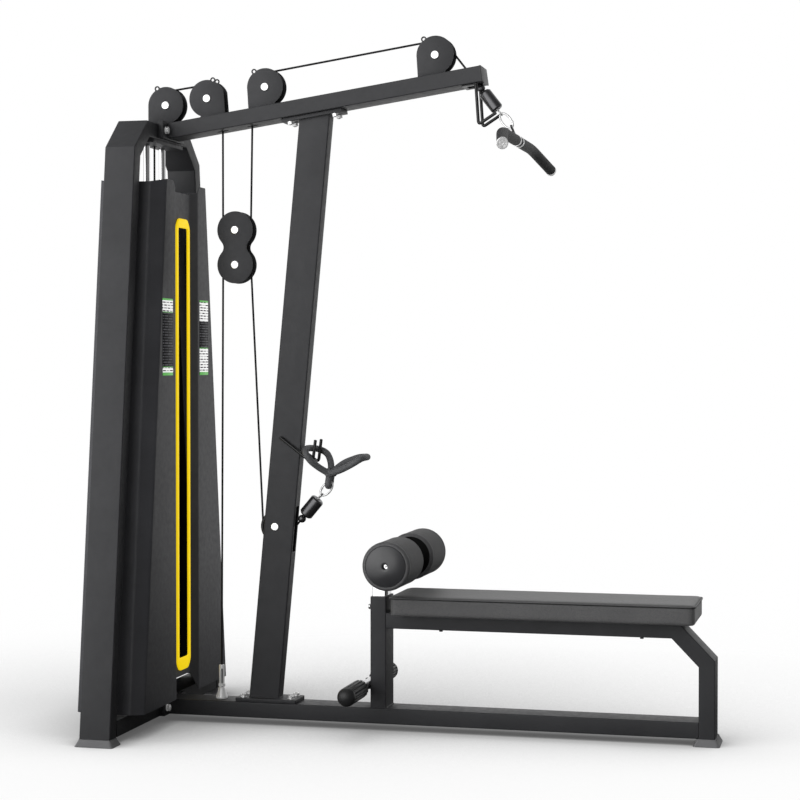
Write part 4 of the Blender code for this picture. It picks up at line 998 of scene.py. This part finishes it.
# ---------------------------------------------------------------- weight stack and shrouds
def build_stack():
    for number in (1, 2, 3, 4):
        refined(f"weight_plate_{number}", IRON, 0.0016)
    for node in ("resting_plates", "stack_head"):
        refined(node, IRON)
    refined("stack_cushion", RUBBER, 0.003)
    refined("rod_top_plate", CHARCOAL, 0.002)
    refined("tower_base_bar", CHARCOAL, 0.002)
    for name, side in SIDES:
        y = side * ROD_Y
        guide = rod((TOWER_X, y, BASE_TOP + GAP), (TOWER_X, y, ROD_TOP), ROD_R, 64)
        finish(guide, f"guide_{name}", "frame", "chrome", CHROME, f"guide_rod_{name}")
    front = TOWER_X + 0.040
    pin = rod((TOWER_X - 0.009, 0, PIN_Z), (front + 0.010, 0, PIN_Z), 0.0045)
    knob = [(0.0, 0.0), (0.0075, 0.0), (0.0090, 0.004), (0.0120, 0.008), (0.0120, 0.024), (0.0095, 0.0295),
            (0.0, 0.030)]
    knob = lathe(rounded(knob, 0.002, 3, closed=False), (front + 0.004, 0, PIN_Z), (1, 0, 0), 48)
    finish(merged([pin, knob]), "selector_knob", "selector", "chrome", CHROME, "selector_pin")


def panel_y(z):
    return PANEL_HALF[0] - PANEL_HALF[1] * z


def flank_y(z):
    return FLANK_HALF[0] - FLANK_HALF[1] * z


def shroud(name, node, side):
    """Folded sheet with small bend radii, slotted where it covers the front of the stack."""
    folds = [(FLANK_BACK, flank_y, SHROUD_BOTTOM, SHROUD_TOP - 0.010),
             (FLANK_FRONT, flank_y, SHROUD_BOTTOM, SHROUD_TOP - 0.010),
             (SHROUD_FRONT, panel_y, SHROUD_BOTTOM, SHROUD_TOP),
             (SHROUD_FRONT, lambda z: PANEL_INNER_Y + 0.018, SHROUD_BOTTOM, SHROUD_TOP),
             (SHROUD_FRONT, lambda z: PANEL_INNER_Y, SHROUD_BOTTOM, SHROUD_TOP - 0.020),
             (RECESS_FRONT, lambda z: RECESS_Y, RECESS_BOTTOM, RECESS_TOP)]
    whole = folds + folds[::-1]
    signs = [-1] * len(folds) + [1] * len(folds)
    rows = []
    for (reach, width, low, high), sign in zip(whole, signs):
        rows.append([Vector((TOWER_X + side * reach, sign * width(z), z)) for z in (low, high)])
    bend = 0.006
    lines = [rounded([row[k] for row in rows], bend, 5, closed=False) for k in (0, 1)]
    count = len(lines[0])
    verts = lines[0] + lines[1]
    faces = [(i, i + 1, count + i + 1, count + i) for i in range(count - 1)]
    if side < 0:
        faces = [face[::-1] for face in faces]
    mesh = bpy.data.meshes.new(name)
    mesh.from_pydata([tuple(v) for v in verts], [], faces)
    made = link(mesh)
    thicken = made.modifiers.new("sheet", "SOLIDIFY")
    thicken.thickness = SHEET
    thicken.offset = -1
    thicken.use_even_offset = True
    made = baked(made)
    if side > 0:
        recess = TOWER_X + RECESS_FRONT
        made = cut(made, block((recess - 0.02, -SLOT_HALF - 0.012, SLOT_BOTTOM - 0.004),
                               (recess + 0.02, SLOT_HALF + 0.012, SLOT_TOP + 0.004)))
    made = bevelled(made, 0.0006, 2, 60)
    finish(shaded(made, 20), name, "frame", "shroud_grey", SHROUD_COAT, node)


def build_shrouds():
    shroud("shroud_front_sheet", "front_shroud", 1)
    shroud("shroud_rear_sheet", "rear_shroud", -1)
    low, high = SLOT_BOTTOM - 0.0405, SLOT_TOP + 0.030
    inset, rise, half = 0.022, 0.026, 0.0605
    outer = [(-half, low + rise), (-half + inset, low), (half - inset, low), (half, low + rise),
             (half, high - rise), (half - inset, high), (-half + inset, high), (-half, high - rise)]
    side = SLOT_HALF + 0.0085
    hole = [(-side, SLOT_BOTTOM), (-side, SLOT_TOP), (side, SLOT_TOP), (side, SLOT_BOTTOM)]
    back = TOWER_X + RECESS_FRONT + GAP
    rim = plate([rounded(outer, 0.012, 6), rounded(hole, 0.008, 5)], back, back + 0.006, "YZ", 0.0018)
    finish(rim, "slot_rim", "frame", "yellow", YELLOW, "slot_frame")


def build_placards():
    """Blank instruction plates: coloured strips and plain bars, with nothing written on them."""
    x0 = TOWER_X + SHROUD_FRONT
    near = [(1.3610, 1.3668, "green"), (1.3248, 1.3608, "white"), (1.3228, 1.3246, "green"),
            (1.1512, 1.3226, "black"), (1.1490, 1.1510, "green"), (1.1330, 1.1488, "white"),
            (1.1232, 1.1328, "green")]
    far = [(1.3640, 1.3700, "green"), (1.3002, 1.3638, "white"), (1.2130, 1.3000, "black"),
           (1.2102, 1.2128, "green"), (1.1326, 1.2100, "white"), (1.1222, 1.1324, "green")]
    looks = {"green": GREEN_PRINT, "white": WHITE_PRINT, "black": BLACK_PRINT}
    slots = {"green": "rubber", "white": "aluminium", "black": "black"}
    for side, low_y, high_y, bands in (("near", -0.2190, -0.1307, near), ("far", 0.1175, 0.1975, far)):
        backing = rectangle(low_y, high_y, bands[-1][0], bands[0][1], 0.002)
        backing = plate([backing], x0 - 0.0005, x0 + 0.0005, "YZ", 0.0001)
        finish(backing, f"placard_{side}_backing", "frame", "aluminium", BLACK_COAT)
        for colour in looks:
            shapes = [rectangle(low_y, high_y, a, b, 0.001, 2) for a, b, kind in bands if kind == colour]
            parts = [plate([shape], x0, x0 + 0.0009, "YZ", 0.0001) for shape in shapes]
            finish(merged(parts), f"placard_{side}_{colour}", "frame", slots[colour], looks[colour])


# ---------------------------------------------------------------- bench
def build_bench():
    half = TUBE_WIDE / 2
    left, right = BENCH_POST
    post = tube([(left, BASE_TOP + GAP), (left, BENCH_POST_TOP)], (-half, half), depth=right - left)
    post = cut(post, rod((left - 0.01, 0, HEIGHT_PIN_Z), (left + 0.01, 0, HEIGHT_PIN_Z), 0.0065))
    finish(shaded(post), "bench_sleeve", "frame", "charcoal", CHARCOAL, "bench_post")
    path = [(right + GAP, RAIL_TOP), (RAIL_CORNER_X, RAIL_TOP), (LEG_OUTER, LEG_CORNER_Z),
            (LEG_OUTER, FOOT_HEIGHT)]
    rail = tube(path, (-half, half), cuts=(PLUMB, LEVEL))
    finish(rail, "bench_rail", "frame", "charcoal", CHARCOAL, "bench_frame")
    shy = 0.0002
    outer = rectangle(left + shy, right - shy, -half + shy, half - shy, 0.005)
    inner = rectangle(left + TUBE_WALL, right - TUBE_WALL, -0.0395, 0.0395, 0.003)
    collar = plate([outer, inner], BENCH_POST_TOP - 0.0025, BENCH_POST_TOP + 0.0015, "XY", 0.0006)
    finish(collar, "sleeve_collar", "frame", "nylon", NYLON)
    screws = []
    for x in (0.104, 0.735):
        for y in (-0.028, 0.028):
            screws.append(bolt((x, y, RAIL_TOP - TUBE_NARROW), (0, 0, -1), 0.0065, tail=False))
    finish(merged(screws), "bench_screws", "frame", "black", BLACK_COAT)


def build_roller_post():
    x, z = ROLLER_AXLE
    left, right = BENCH_POST[0] + TUBE_WALL + 0.0008, BENCH_POST[1] - TUBE_WALL - 0.0008
    half = ROLLER_POST_HALF
    post = tube([(left, z) for z in ROLLER_POST_Z], (-half, half), depth=right - left, radius=0.0045)
    holes = []
    for i in range(HEIGHT_HOLES):
        hole_z = HEIGHT_PIN_Z - HEIGHT_STEP * i
        holes.append(rod((left - 0.01, 0, hole_z), (left + 0.01, 0, hole_z), 0.0058))
    post = cut(post, *holes)
    shy = 0.0005
    cap = rectangle(left + shy, right - shy, -half + shy, half - shy, 0.0045)
    cap = plate([cap], 0.5035, 0.506, "XY", 0.0008)
    post = shaded(merged([post, cap]))
    finish(post, "roller_post_chrome", "roller_carriage", "chrome", CHROME, "roller_post")
    outline = rounded([(left + 0.006, 0.468), (right + 0.001, 0.468), (x + 0.017, z - 0.020),
                       (x + 0.019, z + 0.010), (x + 0.004, z + 0.0215), (x - 0.016, z + 0.0215),
                       (left + 0.004, 0.528)], 0.009, 6)
    outlines = [outline, circle((x, z), 0.0128, 40)]
    arms = [plate(outlines, low, low + 0.007, bevel=0.001) for low in (-0.027, 0.020)]
    web = rounded([(left + 0.012, 0.480), (right - 0.002, 0.480), (x + 0.006, z - 0.022),
                   (x - 0.012, z + 0.002), (left + 0.010, 0.520)], 0.006)
    web = plate([web], -0.0205, 0.0205, bevel=0.001)
    finish(merged(arms + [web]), "roller_arm", "roller_carriage", "black", BLACK_COAT)
    hub = rounded([(0.0125, -0.060), (0.021, -0.060), (0.021, -0.0275), (0.0285, -0.0275), (0.0285, 0.0275),
                   (0.021, 0.0275), (0.021, 0.060), (0.0125, 0.060)], 0.0012, 3)
    hub = lathe(hub, (x, 0, z), (0, -1, 0), 64)
    finish(hub, "roller_hub", "roller_carriage", "black", BLACK_COAT)
    axle = rod((x, -ROLLER_Y[1], z), (x, ROLLER_Y[1], z), AXLE_BAR_R, 48)
    finish(axle, "roller_axle", "roller_carriage", "chrome", CHROME)


def build_rollers():
    """Foam sleeves with piped ends, each with a domed cap held by a screw."""
    x, z = ROLLER_AXLE
    inner, outer = ROLLER_Y
    bore = ROLLER_BORE
    rim = [(0.0640, 0.0016), (0.0680, 0.0018), (0.0726, -0.0010), (0.0752, -0.0066), (0.0755, -0.0115),
           (0.0740, -0.0140), (0.0700, -0.0120), (0.0640, -0.0040)]
    for name, side in SIDES:
        body = f"roller_{name}_wheel"
        foam = [(bore, inner), (0.060, inner), (0.0685, inner + 0.0015), (0.0735, inner + 0.0060),
                (0.0746, inner + 0.012), (0.0750, inner + 0.030), (0.0751, (inner + outer) / 2),
                (0.0750, outer - 0.030), (0.0747, outer - 0.0155), (0.0738, outer - 0.0135),
                (0.0748, outer - 0.0115), (0.0747, outer - 0.0070), (0.0725, outer - 0.0020),
                (0.0680, outer + 0.0012), (0.0632, outer + 0.0010), (0.0618, outer - 0.0014),
                (bore, outer - 0.0014)]
        skin = lathe(rounded(foam, 0.0016, 3), (x, 0, z), (0, side, 0), 128)
        finish(shaded(skin, 50), f"roller_{name}_foam", body, "foam", FOAM, f"roller_{name}")
        rims = [lathe([(r, outer + a) for r, a in rim], (x, 0, z), (0, side, 0), 128),
                lathe([(r, inner - a) for r, a in rim], (x, 0, z), (0, side, 0), 128)]
        finish(shaded(merged(rims), 50), f"roller_{name}_rims", body, "foam", RIM_VINYL)
        # A near-black disc at the inner end of each roller: painted shade in the gap between the rollers
        gap_shade = lathe([(bore, inner - 0.0001), (bore, inner - 0.0012), (0.0636, inner - 0.0012),
                       (0.0636, inner - 0.0001)], (x, 0, z), (0, side, 0), 96)
        finish(shaded(gap_shade, 50), f"roller_{name}_liner", body, "nylon", GAP_SHADE_BLACK)
        cap = [(bore, outer - 0.001), (0.0615, outer - 0.001), (0.0628, outer + 0.0004),
               (0.0622, outer + 0.0018)]
        for share in [k / 9 for k in range(1, 10)]:
            cap.append((0.0622 - 0.0522 * share, outer + 0.0018 + 0.0107 * (1 - (1 - share) ** 2)))
        cap += [(0.0088, outer + 0.0118), (0.0082, outer + 0.0078), (bore * 0.55, outer + 0.0074)]
        dome = lathe(cap, (x, 0, z), (0, side, 0), 96)
        finish(shaded(dome, 40), f"roller_{name}_cap", body, "nylon", CAP_PLASTIC)
        head = hexagon((x, side * (outer + 0.0068), z), (0, side, 0), 0.0062, 0.0030)
        finish(head, f"roller_{name}_screw", body, "chrome", ZINC)


def build_height_pin():
    face = BENCH_POST[0]
    pin = rod((face - 0.012, 0, HEIGHT_PIN_Z), (face + 0.0063, 0, HEIGHT_PIN_Z), 0.0050)
    knob = [(0.0, 0.0), (0.0070, 0.0), (0.0085, 0.0015), (0.0085, 0.0060), (0.0075, 0.0075), (0.0, 0.0075)]
    knob = lathe(rounded(knob, 0.001, 2, closed=False), (face - 0.0105, 0, HEIGHT_PIN_Z), (-1, 0, 0), 40)
    finish(merged([pin, knob]), "height_pin_steel", "height_lock", "chrome", ZINC, "height_pin")


def build_seat():
    """Upholstered pad: puffed by a cloth run and piped under its top edge, with a black cord below the
    piping that paints the shade in the crease.
    """
    shrink = 0.0018
    wide = PAD_HALF - shrink
    outline = rectangle(PAD_X[0] + shrink, PAD_X[1] - shrink, -wide, wide, PAD_CORNER, 8)
    pad = plate([outline], RAIL_TOP + GAP, PAD_TOP - shrink, "XY", 0.0)
    pad = bevelled(pad, 0.0060, 4, 50)
    pad = puffed(pad, 0.0016)
    finish(shaded(pad, 70), "seat_cushion", "frame", "vinyl", VINYL, "seat_pad")
    # The lower, black cord is painted shade in the crease under the piping
    cords = (("seat_piping", 0.0062, 0.0020, VINYL), ("seat_crease_shade", 0.0095, 0.0012, RUBBER))
    for name, drop, radius, material in cords:
        line = [(x, y, PAD_TOP - drop) for x, y in outline]
        finish(wire(line, radius, True, 3), name, "frame", "vinyl", material)


def puffed(obj, cap, voxel=0.006, frames=20):
    """Swell a closed shape by a cloth run, with no point moving further than cap."""
    remesh = obj.modifiers.new("remesh", "REMESH")
    remesh.mode = "VOXEL"
    remesh.voxel_size = voxel
    obj = baked(obj)
    rest = [v.co.copy() for v in obj.data.vertices]
    cloth = obj.modifiers.new("cloth", "CLOTH")
    cloth.settings.use_pressure = True
    cloth.settings.uniform_pressure_force = 4.0
    cloth.settings.effector_weights.gravity = 0.0
    cloth.point_cache.frame_start, cloth.point_cache.frame_end = 1, frames
    scene = bpy.context.scene
    for number in range(1, frames + 1):
        scene.frame_set(number)
    obj = baked(obj)
    scene.frame_set(1)
    for vertex, start in zip(obj.data.vertices, rest):
        move = vertex.co - start
        if move.length > cap:
            vertex.co = start + move.normalized() * cap
    divide = obj.modifiers.new("divide", "SUBSURF")
    divide.levels = divide.render_levels = 1
    return baked(obj)


def build_footrest():
    """Steel bar through the post, with fluted grips that end in a dome."""
    x, z = FOOTREST
    bar = rod((x, -FOOTREST_HALF + 0.012, z), (x, FOOTREST_HALF - 0.012, z), FOOTREST_R, 48)
    finish(bar, "footrest_tube", "frame", "footrest_steel", BRUSHED, "footrest_bar")
    start, end = GRIP_START, FOOTREST_HALF - 0.013
    flutes, flute_depth = 16, 0.0030
    angles = [2 * pi * k / 192 for k in range(192)]
    radii = [GRIP_R - flute_depth * max(0.0, cos(flutes * a)) ** 2 for a in angles]
    outline = [(x + r * cos(a), z + r * sin(a)) for a, r in zip(angles, radii)]
    bore = circle((x, z), FOOTREST_R + GAP, 48)
    for name, side in SIDES:
        body = plate([outline, bore], *sorted((side * start, side * end)), bevel=0.0006)
        turns = [radians(7.5 * k) for k in range(13)]
        nose = [(GRIP_R * cos(a), end - 0.001 + 0.025 * sin(a)) for a in turns]
        nose[-1] = (0.0, nose[-1][1])
        nose = lathe([(0.0, end - 0.004), (GRIP_R, end - 0.004)] + nose, (x, 0, z), (0, side, 0), 72)
        grip = shaded(merged([body, nose]), 40)
        finish(grip, f"grip_{name}", "frame", "rubber", GRIP, f"footrest_grip_{name}")
    left, right = x - FOOTREST_R - 0.0015, BENCH_POST[0] + 0.0005
    lugs = []
    for y in (-0.030, 0.030):
        lugs.append(block((left, y - 0.006, z - 0.012), (right, y + 0.006, z + 0.012), 0.001))
    finish(shaded(merged(lugs)), "footrest_lugs", "frame", "charcoal", CHARCOAL)


# ---------------------------------------------------------------- hooks, bars and handles
def build_hooks():
    """The bent wires that the bar and the handle rest on."""
    start = beam_along(BAR_HOOK_X)
    plate_top, plate_low = -TUBE_NARROW - GAP, -TUBE_NARROW - 0.0045
    origin = beam_point(0, 0)
    turn = Matrix.Translation((origin[0], 0, origin[1])) @ Matrix.Rotation(-BEAM_SLOPE, 4, "Y")
    ends = (start - 0.045, start + 0.006)
    outline = [(ends[0], -0.041), (ends[1], -0.041), (ends[1], -0.019), (ends[0] + 0.013, -0.019),
               (ends[0] + 0.013, 0.019), (ends[1], 0.019), (ends[1], 0.041), (ends[0], 0.041)]
    base = plate([rounded(outline, 0.003)], plate_low, plate_top, "XY", 0.0006)
    base.data.transform(turn)
    parts = [base]
    for side in (-1, 1):
        y = side * BAR_HOOK_Y
        line = rounded(at_y([beam_point(start, plate_low + 0.002)] + BAR_HOOK, y), 0.012, 8, closed=False)
        parts += [wire(line, HOOK_R), tip(BAR_HOOK[1], y, Vector(BAR_HOOK[1]) - Vector(BAR_HOOK[0]), HOOK_R)]
    finish(merged(parts), "bar_rest", "frame", "black", BLACK_COAT, "bar_hooks")
    points = HANDLE_HOOK
    parts = []
    for y in (-HANDLE_HOOK_Y, HANDLE_HOOK_Y):
        parts.append(wire(rounded(at_y(points, y), 0.014, 8, closed=False), HOOK_R))
        parts.append(tip(points[0], y, Vector(points[0]) - Vector(points[1]), HOOK_R))
        parts.append(tip(points[2], y, Vector(points[2]) - Vector(points[1]), HOOK_R))
    cross = (points[1][0] - 0.004, points[1][1] + 0.006)
    parts.append(rod((cross[0], -HANDLE_HOOK_Y, cross[1]), (cross[0], HANDLE_HOOK_Y, cross[1]), 0.004))
    finish(merged(parts), "handle_rest", "frame", "black", BLACK_COAT, "handle_hooks")


def tip(point, y, direction, radius):
    """A rounded end for a wire."""
    d = direction.normalized()
    profile = [(radius * cos(a), radius * 0.55 * sin(a)) for a in [radians(k * 15) for k in range(7)]]
    profile[-1] = (0.0, profile[-1][1])
    return lathe([(0.0, -0.001), (radius, -0.001)] + profile, (point[0], y, point[1]), (d.x, 0, d.y), 32)


def loop(centre, angle, long, short, radius, across=False, count=64):
    """A wire ring; its long half lies at an angle in the side view."""
    u, v = unit(angle), unit(angle + pi / 2)
    points = []
    for i in range(count):
        a = 2 * pi * i / count
        x = centre[0] + u.x * long * cos(a) + (0 if across else v.x * short * sin(a))
        z = centre[1] + u.y * long * cos(a) + (0 if across else v.y * short * sin(a))
        points.append((x, short * sin(a) if across else 0.0, z))
    return wire(points, radius, True)


def swivel_set(prefix, stop, heading, radius, half, clip_long):
    """Swivel with its stop ball, turning eye and carabiner. Gives the carabiner's far end."""
    d = unit(heading)
    axis = (d.x, 0, d.y)
    at = (stop.x, 0, stop.y)
    start = STOP_R + 0.002
    end = start + 2 * half
    ball = [(STOP_R * cos(a), STOP_R * sin(a)) for a in [radians(k * 15 - 90) for k in range(11)]]
    ball[0] = (0.0, -STOP_R)
    body = ball + [(0.0078, start - 0.0012), (0.0078, start)]
    body += rounded([(0.0085, start), (radius * 0.74, start), (radius, start + 0.0055),
                     (radius, end - 0.0045), (radius * 0.80, end), (0.0078, end)], 0.0010, 3, closed=False)
    body += [(0.0070, end - 0.001), (0.0070, end - 0.012), (0.0, end - 0.012)]
    body = shaded(lathe(body, at, axis, 80), 38)
    finish(body, f"{prefix}_swivel_body", f"{prefix}_end", "swivel_black", BLACK_GLOSS, f"{prefix}_swivel")
    centre = stop + d * (end + 0.0140)
    parts = [loop(centre, heading, EYE_R, EYE_R, EYE_WIRE_R, across=True)]
    stem = [(0.0, end - 0.0112), (0.0062, end - 0.0112), (0.0062, end - 0.0080), (0.0045, end - 0.0078),
            (0.0045, end + 0.0035), (0.0, end + 0.0045)]
    parts.append(lathe(stem, at, axis, 32))
    finish(merged(parts), f"{prefix}_eye_ring", f"{prefix}_turn", "chrome", WIRE_CHROME, f"{prefix}_eye")
    hinge = centre + d * EYE_R
    middle = hinge + d * (clip_long - EYE_WIRE_R - WIRE_R - GAP)
    clip = [loop(middle, heading, clip_long, CLIP_HALF, WIRE_R)]
    side = unit(heading + pi / 2)
    for share in (-0.42, 0.42):
        p = middle + d * (clip_long * share) + side * (CLIP_HALF * sqrt(1 - share * share))
        q = p + d * 0.0042
        clip.append(rod((p.x, 0, p.y), (q.x, 0, q.y), WIRE_R * 1.28, 24, 0.0004))
    finish(merged(clip), f"{prefix}_clip", f"{prefix}_hang", "chrome", WIRE_CHROME, f"{prefix}_carabiner")
    return middle + d * clip_long


def build_lat_bar(clip_end):
    """Cranked bar with a lug for the carabiner, rubber sleeves, bright rings and end caps."""
    cx, cz = BAR_CENTRE
    ex, ey, ez = BAR_END
    corners = [Vector(p) for p in ((ex, -ey, ez), (cx, -BAR_BEND_Y, cz), (cx, BAR_BEND_Y, cz), (ex, ey, ez))]
    corners[0], corners[3] = corners[0].lerp(corners[1], 0.02), corners[3].lerp(corners[2], 0.02)
    core = wire(rounded(corners, 0.045, 12, closed=False), 0.0132, resolution=8)
    up = clip_end - Vector(BAR_CENTRE)
    eye, half = 0.0080, 0.0125
    hole = up.length - (eye - WIRE_R - 0.0020)
    outline = [(-half, 0.0), (-half, hole)] + arc((0, hole), half, pi, 0, radians(8))[1:] + [(half, 0.0)]
    lug = plate([outline, circle((0, hole), eye, 32)], -0.0022, 0.0022, "YZ", 0.0005)
    way = up.normalized()
    turn = Vector((0, 0, 1)).rotation_difference(Vector((way.x, 0, way.y))).to_matrix().to_4x4()
    lug.data.transform(Matrix.Translation((cx, 0, cz)) @ turn)
    middle = rod((cx, -RING_Y[0], cz), (cx, RING_Y[0], cz), 0.0158, 48)
    finish(merged([core, middle, lug]), "bar_core", "lat_hang", "black", SLEEVE, "lat_bar")
    cap = [(0.0, -0.010), (0.0150, -0.010), (0.0173, -0.0088), (0.0173, -0.0012), (0.0160, 0.0),
           (0.0118, 0.0), (0.0112, -0.0010), (0.0082, -0.0010), (0.0076, -0.0002), (0.0034, -0.0002),
           (0.0028, -0.0014), (0.0, -0.0014)]
    ring = rectangle(0.0160, 0.0178, -0.0022, 0.0022, 0.0007, 2)
    sleeves, bright = [], []
    for side in (-1, 1):
        bend, end = Vector((cx, side * BAR_BEND_Y, cz)), Vector((ex, side * ey, ez))
        line = rounded([(cx, side * RING_Y[1], cz), bend, end], 0.045, 14, closed=False)
        sleeves.append(wire(shortened(line, 0.0085), BAR_R, resolution=10))
        bright.append(lathe(cap, end, (end - bend).normalized(), 64))
        bright += [lathe(ring, (cx, side * y, cz), (0, 1, 0), 64) for y in RING_Y]
    finish(merged(sleeves), "bar_sleeves", "lat_hang", "rubber", SLEEVE)
    finish(merged(bright), "bar_bright_rings", "lat_hang", "chrome", WIRE_CHROME)


def shortened(points, length):
    """A line of points with a length taken off its last end."""
    line = [Vector(p) for p in points]
    while (line[-1] - line[-2]).length < length:
        length -= (line[-1] - line[-2]).length
        line.pop()
    line[-1] = line[-1].lerp(line[-2], length / (line[-1] - line[-2]).length)
    return line


def build_strap(clip_end):
    """Rubber handle: two hand loops and the loop in the carabiner, bound at a knot."""
    knot = Vector(KNOT)

    def hand_loop(tip_point, shape, bow=0.0):
        """Both strands of a loop; bow spreads them apart in the side view."""
        run = Vector(tip_point) - knot
        aside = Vector((run.y, -run.x)).normalized() * bow
        near, far = [], []
        for share, y in shape:
            middle, spread = knot + run * share, aside * sin(pi * share)
            near.append((middle.x - spread.x * 0.35, -y, middle.y - spread.y * 0.35))
            far.append((middle.x + spread.x, y, middle.y + spread.y))
        return wire(rounded(near + far[::-1], 0.05, 9, closed=False), STRAP_R, resolution=7)

    hold = clip_end - unit(ROW_EXIT) * (WIRE_R + STRAP_R + GAP)
    held = [(0.0, 0.0105), (0.30, 0.030), (0.60, 0.052), (0.88, 0.056), (1.0, 0.022)]
    free = [(0.0, 0.0105), (0.35, 0.030), (0.75, 0.048), (0.94, 0.046), (1.0, 0.028)]
    parts = [hand_loop(hold, [(0.0, 0.0125), (0.6, 0.0135), (1.0, 0.0135)]),
             hand_loop(HELD_TIP, held, 0.026), hand_loop(FREE_TIP, free, -0.018)]
    d = unit(ROW_EXIT)
    turns = [radians(24 * k) for k in range(15)]
    wrap = [(KNOT_R + KNOT_WIRE_R * cos(a), KNOT_WIRE_R * sin(a)) for a in turns]
    place = Matrix.Translation((knot.x, 0, knot.y))
    widen = place @ Matrix.Diagonal((1, 1.45, 1, 1)) @ place.inverted()
    for shift in (-0.006, 0.006):
        p = knot + d * shift
        turn = lathe(wrap, (p.x, 0, p.y), (d.x, 0, d.y), 48)
        turn.data.transform(widen)
        parts.append(turn)
    finish(merged(parts), "strap_loops", "row_hang", "strap_grey", STRAP, "row_strap")


# ---------------------------------------------------------------- stage
# Soft panels round the object: their direction, cosines where they begin and fill, and brightness
PANELS = [((-0.55, -0.83, 0.06), 0.55, 0.95, 1.90),
          ((0.10, 0.99, 0.05), 0.20, 0.90, 0.68),
          ((-0.90, 0.30, 0.10), 0.55, 0.95, 0.35),
          ((0.05, 0.35, 0.93), 0.80, 0.98, 0.35)]
FILL = 0.15
# Painted floor shadow: the wide shade's lean in degrees, its reach and the contact shade's reach in metres
SKY_LEAN = 38
SKY_REACH = 1.8
CONTACT_REACH = 0.36
LENS = 86.19
CAMERA_PLACE = (1.4452, -5.8807, 1.173)
CAMERA_TURN = (88.7957, 0, 14.1375)


def build_world(scene):
    """White to the camera, and soft panels of light on the object."""
    scene.world = bpy.data.worlds.new("studio")
    t = Tree(scene.world)
    toward = t.add("TexCoord").outputs["Generated"]
    light = FILL
    for direction, begin, full, strength in PANELS:
        middle = Vector(direction).normalized()
        facing = t.add("VectorMath", {"operation": "DOT_PRODUCT"}, i0=toward, i1=middle).outputs["Value"]
        panel = t.range(facing, 0.0, strength, begin, full, "SMOOTHSTEP")
        light = t.add("Math", {"operation": "ADD"}, i0=light, i1=panel).outputs["Value"]
    panels = t.nodes["Background"]
    panels.inputs["Color"].default_value = (1, 1, 1, 1)
    t.links.new(light, panels.inputs["Strength"])
    white = t.add("Background", Color=(1, 1, 1, 1))
    seen = t.add("LightPath").outputs["Is Camera Ray"]
    mix = t.add("MixShader", i0=seen, i1=panels.outputs["Background"], i2=white.outputs["Background"])
    t.links.new(mix.outputs["Shader"], t.nodes["World Output"].inputs["Surface"])


def build_stage():
    """The floor, which glows white to the camera with painted shadow darkening it near the object, and fades
    out far from it, with the light and the camera.
    """
    floor = mesh_object([(-9, -9, 0), (9, -9, 0), (9, 9, 0), (-9, 9, 0)], [(0, 1, 2, 3)])
    floor.name = "floor"
    t = Tree(bpy.data.materials.new("floor_white"))
    seen = t.add("LightPath").outputs["Is Camera Ray"]
    up = t.add("NewGeometry").outputs["Normal"]
    lean = t.add("VectorRotate", {"rotation_type": "X_AXIS"}, Vector=up, Angle=radians(SKY_LEAN))
    lean = lean.outputs["Vector"]
    # Painted shadow: the floor's glow, seen only by the camera, is darkened by ambient occlusion, a wide
    # soft shade leaning back and a darker contact shade right under the object
    open_sky = t.add("AmbientOcclusion", {"samples": 12}, Normal=lean, Distance=SKY_REACH).outputs["AO"]
    shade = t.range(open_sky, 0.20, 0.92, 0.36, 1.0)
    close = t.add("AmbientOcclusion", {"samples": 12}, Distance=CONTACT_REACH).outputs["AO"]
    contact = t.range(close, 0.42, 1.0, 0.12, 0.97)
    shade = t.add("Math", {"operation": "MULTIPLY"}, i0=shade, i1=contact).outputs["Value"]
    glow = t.add("Math", {"operation": "MULTIPLY"}, i0=seen, i1=shade).outputs["Value"]
    t.feed(Base_Color=(0.10, 0.10, 0.10, 1), Roughness=0.9, Specular_IOR_Level=0.1,
           Emission_Color=(1, 1, 1, 1), Emission_Strength=glow)
    clear = t.add("BsdfTransparent").outputs["BSDF"]
    reach = t.add("VectorMath", {"operation": "LENGTH"}, i0=t.place).outputs["Value"]
    fade = t.range(reach, 0.0, 1.0, 1.0, 4.2, "SMOOTHSTEP")
    mix = t.add("MixShader", i0=fade, i1=t.shader.outputs["BSDF"], i2=clear).outputs["Shader"]
    t.links.new(mix, t.nodes["Material Output"].inputs["Surface"])
    floor.data.materials.append(t.owner)

    scene = bpy.context.scene
    scene.view_settings.view_transform = "Standard"
    scene.view_settings.look = "None"
    build_world(scene)

    data = bpy.data.cameras.new("camera")
    data.lens = LENS
    data.sensor_width = 36
    data.clip_end = 100
    camera = bpy.data.objects.new("camera", data)
    scene.collection.objects.link(camera)
    camera.location = CAMERA_PLACE
    camera.rotation_euler = [radians(a) for a in CAMERA_TURN]
    scene.camera = camera


build_stage()
build_frame()
build_upright()
build_feet()
build_welds()
build_pulleys()
build_cables()
build_anchor()
build_stack()
build_shrouds()
build_placards()
build_bench()
build_roller_post()
build_rollers()
build_height_pin()
build_seat()
build_footrest()
build_hooks()
build_lat_bar(swivel_set("lat", LAT_STOP, LAT_EXIT, radius=0.020, half=0.0355, clip_long=0.028))
build_strap(swivel_set("row", ROW_STOP, ROW_EXIT, radius=0.0225, half=0.0345, clip_long=0.0265))
